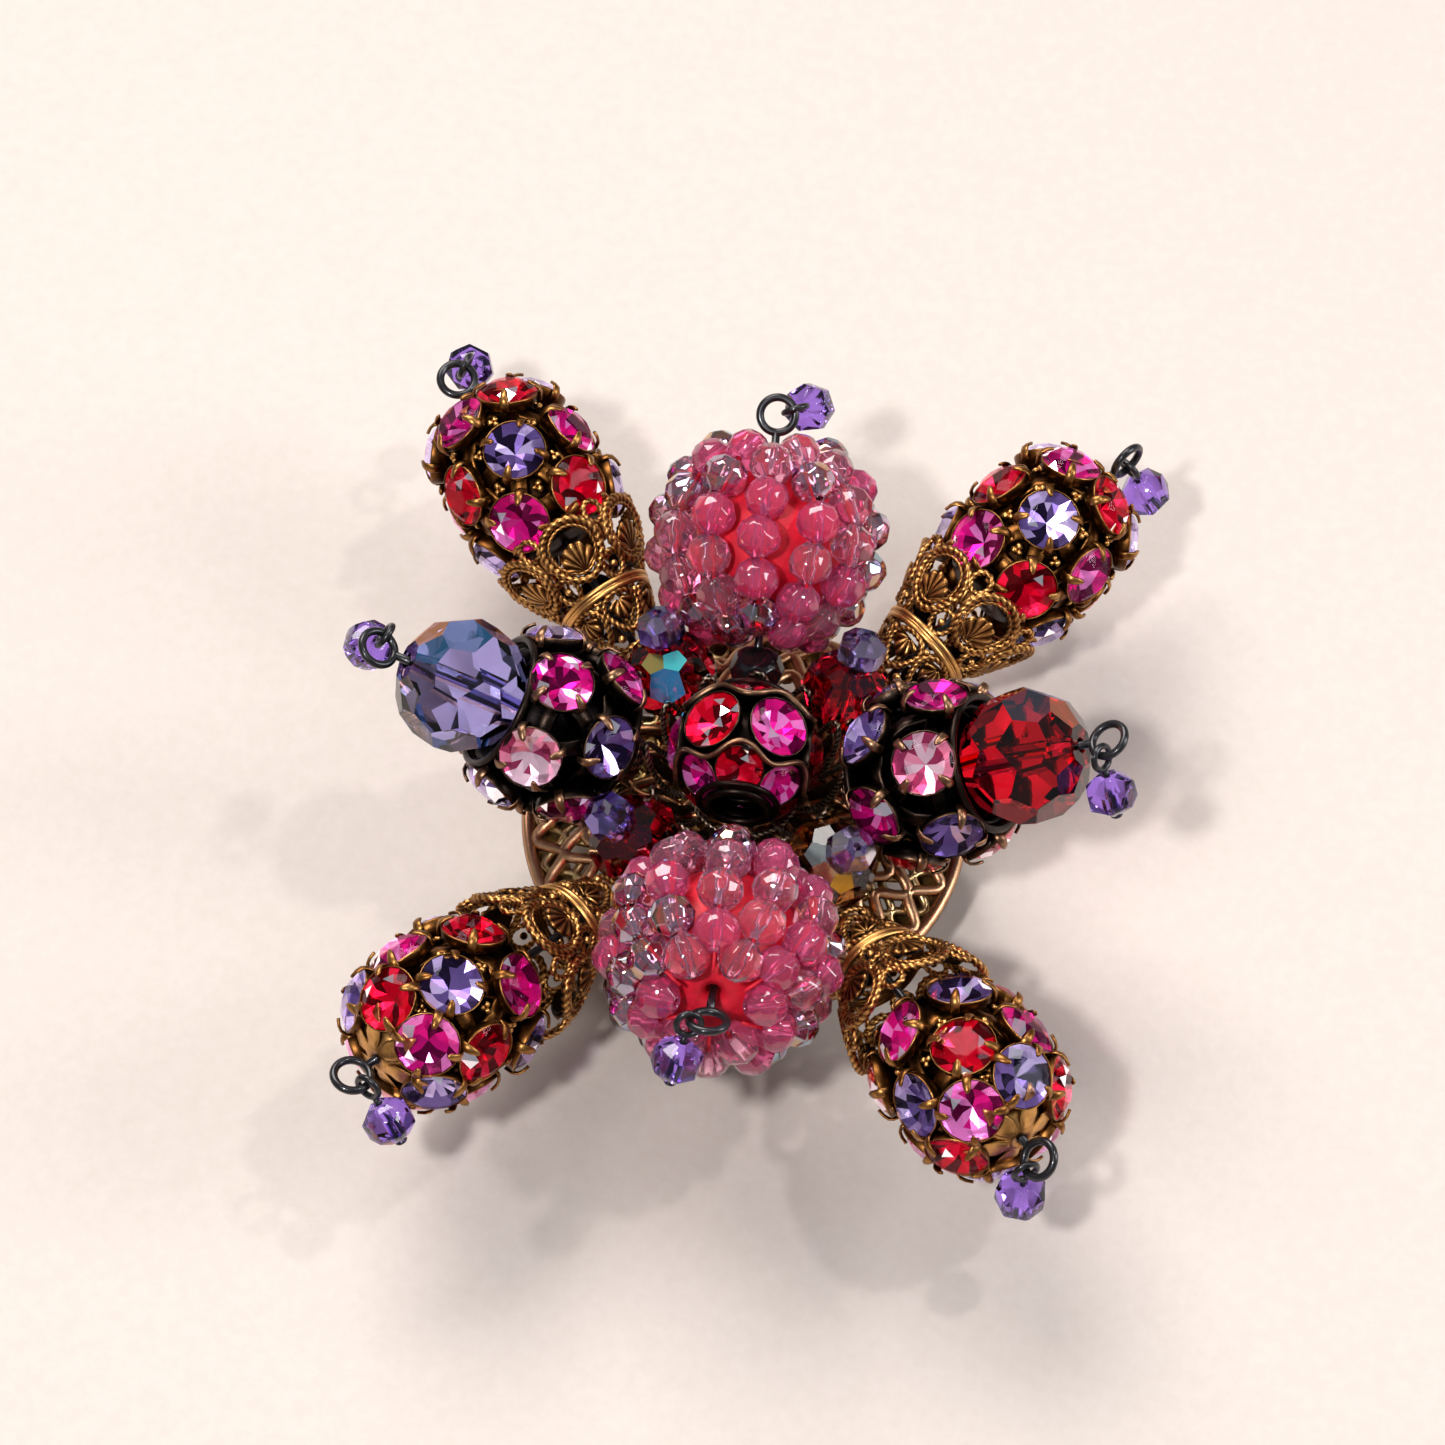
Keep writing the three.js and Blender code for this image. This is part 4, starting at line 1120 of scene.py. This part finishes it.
# ---- back and pin finding ---------------------------------------------------------------------------
def back_plate():
    """A flat plate with a row of oval openings and a rope edge."""
    mesh = Mesh()
    low, high = 0.02, PLATE_THICKNESS
    for inner, outer in ((0.5, 11.75), (15.45, PLATE_RADIUS - 0.3)):
        edge = [(inner, low), (outer - 0.1, low), (outer, low + 0.1), (outer, high - 0.1),
                (outer - 0.1, high), (inner, high)]
        revolve(mesh, edge, 120, shade_and_wear=0.55, smooth=False)
    steps = [11.6 + 4.0 * k / 16 for k in range(17)]

    def spoke_shape(i, a):
        reach = max(0.0, 1 - ((steps[i] - OPENING_RING) / OPENING_HALF_DEPTH) ** 2)
        return (math.pi * steps[i] / OPENINGS - OPENING_HALF_LENGTH * math.sqrt(reach), 0.39)

    for angle in ring_of(OPENINGS):
        spoke = [(*polar(step, angle), (low + high) / 2) for step in steps]
        tube(mesh, spoke, 1.0, 16, shape=spoke_shape, up=(0, 0, 1), square=0.25, shade_and_wear=0.55)
    rope(mesh, circle(PLATE_RADIUS - 0.5, 0.5, 160), 0.4, 1.0, up=(0, 0, 1))
    piece("plate_openwork", mesh, [GILT], "gilt_back", "brooch", "back_plate")


def c_ring(mesh, inner, outer, low, high, mouth, place):
    """A ring with a mouth towards its own -Y, mouth degrees wide to each side."""
    angles = [math.radians(-90 + mouth + (360 - 2 * mouth) * k / 32) for k in range(33)]
    path = [(*polar((inner + outer) / 2, a), (low + high) / 2) for a in angles]
    tube(mesh, path, 1.0, 12, shape=((outer - inner) / 2, (high - low) / 2), up=(0, 0, 1), place=place,
         square=0.35)


def flat_bar(mesh, start, end, half_width, half_thickness, up, place=None):
    """A flat bar with rounded ends."""
    a, b = Vector(start), Vector(end)
    length = (b - a).length
    marks = [0.0, 0.05, 0.15, 0.35, 0.65, 1.0]
    near = [m * half_width for m in marks]
    spots = near + [length - m for m in reversed(near)]
    spans = [half_width * math.sqrt(max(0.02, 1 - (1 - m) ** 2)) for m in marks]
    spans = spans + spans[::-1]
    path = [a.lerp(b, spot / length) for spot in spots]
    tube(mesh, path, 1.0, 12, shape=lambda i, angle: (spans[i], half_thickness), up=up, place=place,
         square=0.3)


def finding():
    """The pin: a bar on the back, a hinged stem and a catch with a turning collar."""
    bar, stem, collar = Mesh(), Mesh(), Mesh()
    hinge = (-HALF_SPAN, FINDING_Y, AXIS_Z)
    flat_bar(bar, (-14, FINDING_Y, -0.35), (14, FINDING_Y, -0.35), 2.0, 0.33, (0, 0, 1))
    for side in (-1, 1):
        y = FINDING_Y + side * 1.25
        flat_bar(bar, (-HALF_SPAN, y, 0.3), (-HALF_SPAN, y, AXIS_Z - 1.1), 1.1, 0.3, (0, 1, 0))
    across = Matrix.Translation(hinge) @ Matrix.Rotation(math.pi / 2, 4, "X")
    rivet = [(0.3, -2.0), (0.7, -1.9), (0.8, -1.65), (0.47, -1.6), (0.47, 1.6), (0.8, 1.65), (0.7, 1.9),
             (0.3, 2.0)]
    pin = Mesh()
    revolve(pin, rivet, 24, across, closed=False, shade_and_wear=0.8)
    hub = [(0.56, -0.8), (0.9, -0.8), (1.0, -0.7), (1.0, 0.7), (0.9, 0.8), (0.56, 0.8)]
    revolve(stem, hub, 32, across, shade_and_wear=0.7)
    needle = [(-10.7, 0.4), (0, 0.4), (11.2, 0.4), (12.4, 0.33), (13.4, 0.18), (14.1, 0.05)]
    tube(stem, [(x, FINDING_Y, AXIS_Z) for x, _ in needle], 1.0, 16, up=(0, 0, 1),
         shape=lambda i, a: needle[i][1], shade_and_wear=0.8)
    turned = Matrix(((0, 0, 1), (1, 0, 0), (0, 1, 0))).to_4x4()
    catch = Matrix.Translation((HALF_SPAN, FINDING_Y, AXIS_Z)) @ turned
    c_ring(bar, 0.77, 1.22, -1.3, 1.3, 40, catch)
    for low in (-1.3, 0.82):
        c_ring(bar, 0.77, 1.9, low, low + 0.48, 40, catch)
        x = HALF_SPAN + low + 0.24
        flat_bar(bar, (x, FINDING_Y, AXIS_Z + 1.1), (x, FINDING_Y, -0.3), 1.1, 0.22, (1, 0, 0))
    c_ring(collar, 1.37, 1.88, -0.68, 0.68, 43, catch)
    tab = catch @ Matrix.Rotation(math.radians(-42), 4, "Z")
    flat_bar(collar, (1.6, 0, 0), (2.65, 0, 0), 0.22, 0.66, (0, 0, 1), tab)
    piece("finding_bar", bar, [NICKEL], "plated_steel", "brooch", "pin_bar", "catch_body")
    piece("finding_rivet", pin, [NICKEL], "plated_steel", "brooch", "hinge_rivet")
    piece("finding_stem", stem, [NICKEL], "plated_steel", "stem", "pin_stem")
    piece("finding_collar", collar, [NICKEL], "plated_steel", "collar", "catch_collar")


# ---- assembly ---------------------------------------------------------------------------------------
for name, kind, azimuth, lift, ball_at, loop_at, roll, row_shift, twist in ARMS:
    arm = arm_matrix(azimuth, lift)
    middle = arm @ along(ball_at)
    if kind == "brass":
        brass_ball(name, middle, roll, row_shift)
        bell(name, middle)
        eye_pin(name, arm, ball_at - 18.4, loop_at, twist)
    elif kind == "dark":
        dark_ball(name, middle, roll)
        cut_crystal(name, middle @ along(CRYSTAL_BEYOND))
        eye_pin(name, arm, ball_at - 8.6, loop_at, twist)
    else:
        core(name, middle)
        bead_wrap(name, middle)
        spacer = faceted(JET, ROUND_ROWS, 0.9, 0.6, 0.12)
        single(f"jet_bead_{name}", spacer, arm @ along(ball_at - JET_BEFORE), JET_GLASS, "jet_glass",
               "brooch", f"jet_spacer_{name}")
        eye_pin(name, arm, ball_at - 13.4, loop_at, twist)
    dangle(name)
for row in ACCENTS:
    accent(*row)
centre_ball()
rosette()
base_dome()
back_plate()
finding()


# ---- floor, light and camera ------------------------------------------------------------------------
VIEW_AZIMUTH, VIEW_ELEVATION = 7.5, 60.0
FOCAL, SENSOR, FRAME_WIDTH = 135.0, 36.0, 0.123
AIM_RIGHT, AIM_UP = -1.9 * MM, 7.4 * MM
STAGE_MIDDLE = (0, 0, 0.01)
# name, width and height in metres, watts, place, colour
LAMPS = [
    ("window", (0.7, 0.5), 11.0, (-0.4, 0.65, 0.85), (1.0, 0.96, 0.92)),
    ("side", (0.18, 0.3), 1.6, (0.5, 0.05, 0.3), (0.93, 0.96, 1.0)),
    ("spark", (0.04, 0.04), 1.8, (-0.12, -0.25, 0.5), (1, 1, 1)),
    ("glint", (0.03, 0.03), 0.5, (0.2, 0.1, 0.5), (1, 1, 1)),
]


def floor():
    made = Nodes("pale_paper")
    grain = made.noise(900.0, 6.0)
    made.paint(grain, [(0.3, (0.6, 0.525, 0.475)), (0.75, (0.64, 0.565, 0.515))])
    made.set(Roughness=0.55)
    made.bump(grain, 0.2, 0.0002)
    data = bpy.data.meshes.new("floor")
    level = cad_box[0][2] - 0.0001
    data.from_pydata([(x, y, level) for x, y in ((-2, -2), (2, -2), (2, 2), (-2, 2))], [], [(0, 1, 2, 3)])
    data.materials.append(made.material)
    show("floor", data)


def lamp(name, size, power, place, color):
    data = bpy.data.lights.new(name, "AREA")
    data.shape = "RECTANGLE"
    data.size, data.size_y = size
    data.energy = power
    data.color = color
    made = show(name, data)
    made.location = place
    made.rotation_euler = (Vector(STAGE_MIDDLE) - Vector(place)).to_track_quat("-Z", "Y").to_euler()


def stage():
    floor()
    for row in LAMPS:
        lamp(*row)
    world = bpy.data.worlds.new("studio")
    world.use_nodes = True
    background = world.node_tree.nodes["Background"]
    background.inputs["Color"].default_value = (0.82, 0.84, 0.88, 1)
    background.inputs["Strength"].default_value = 0.24
    bpy.context.scene.world = world
    bpy.context.scene.view_settings.view_transform = "Standard"


def camera():
    turn, rise = math.radians(VIEW_AZIMUTH), math.radians(VIEW_ELEVATION)
    back = Vector((math.sin(turn) * math.cos(rise), -math.cos(turn) * math.cos(rise), math.sin(rise)))
    right = Vector((math.cos(turn), math.sin(turn), 0))
    up = back.cross(right)
    target = Vector((0, 0, ROOT_Z * MM)) + right * AIM_RIGHT + up * AIM_UP
    data = bpy.data.cameras.new("camera")
    data.lens = FOCAL
    data.sensor_width = SENSOR
    data.clip_start = 0.01
    made = show("camera", data)
    made.matrix_world = (Matrix.Translation(target + back * (FRAME_WIDTH * FOCAL / SENSOR))
                         @ axes(right, up, back))
    bpy.context.scene.camera = made


stage()
camera()
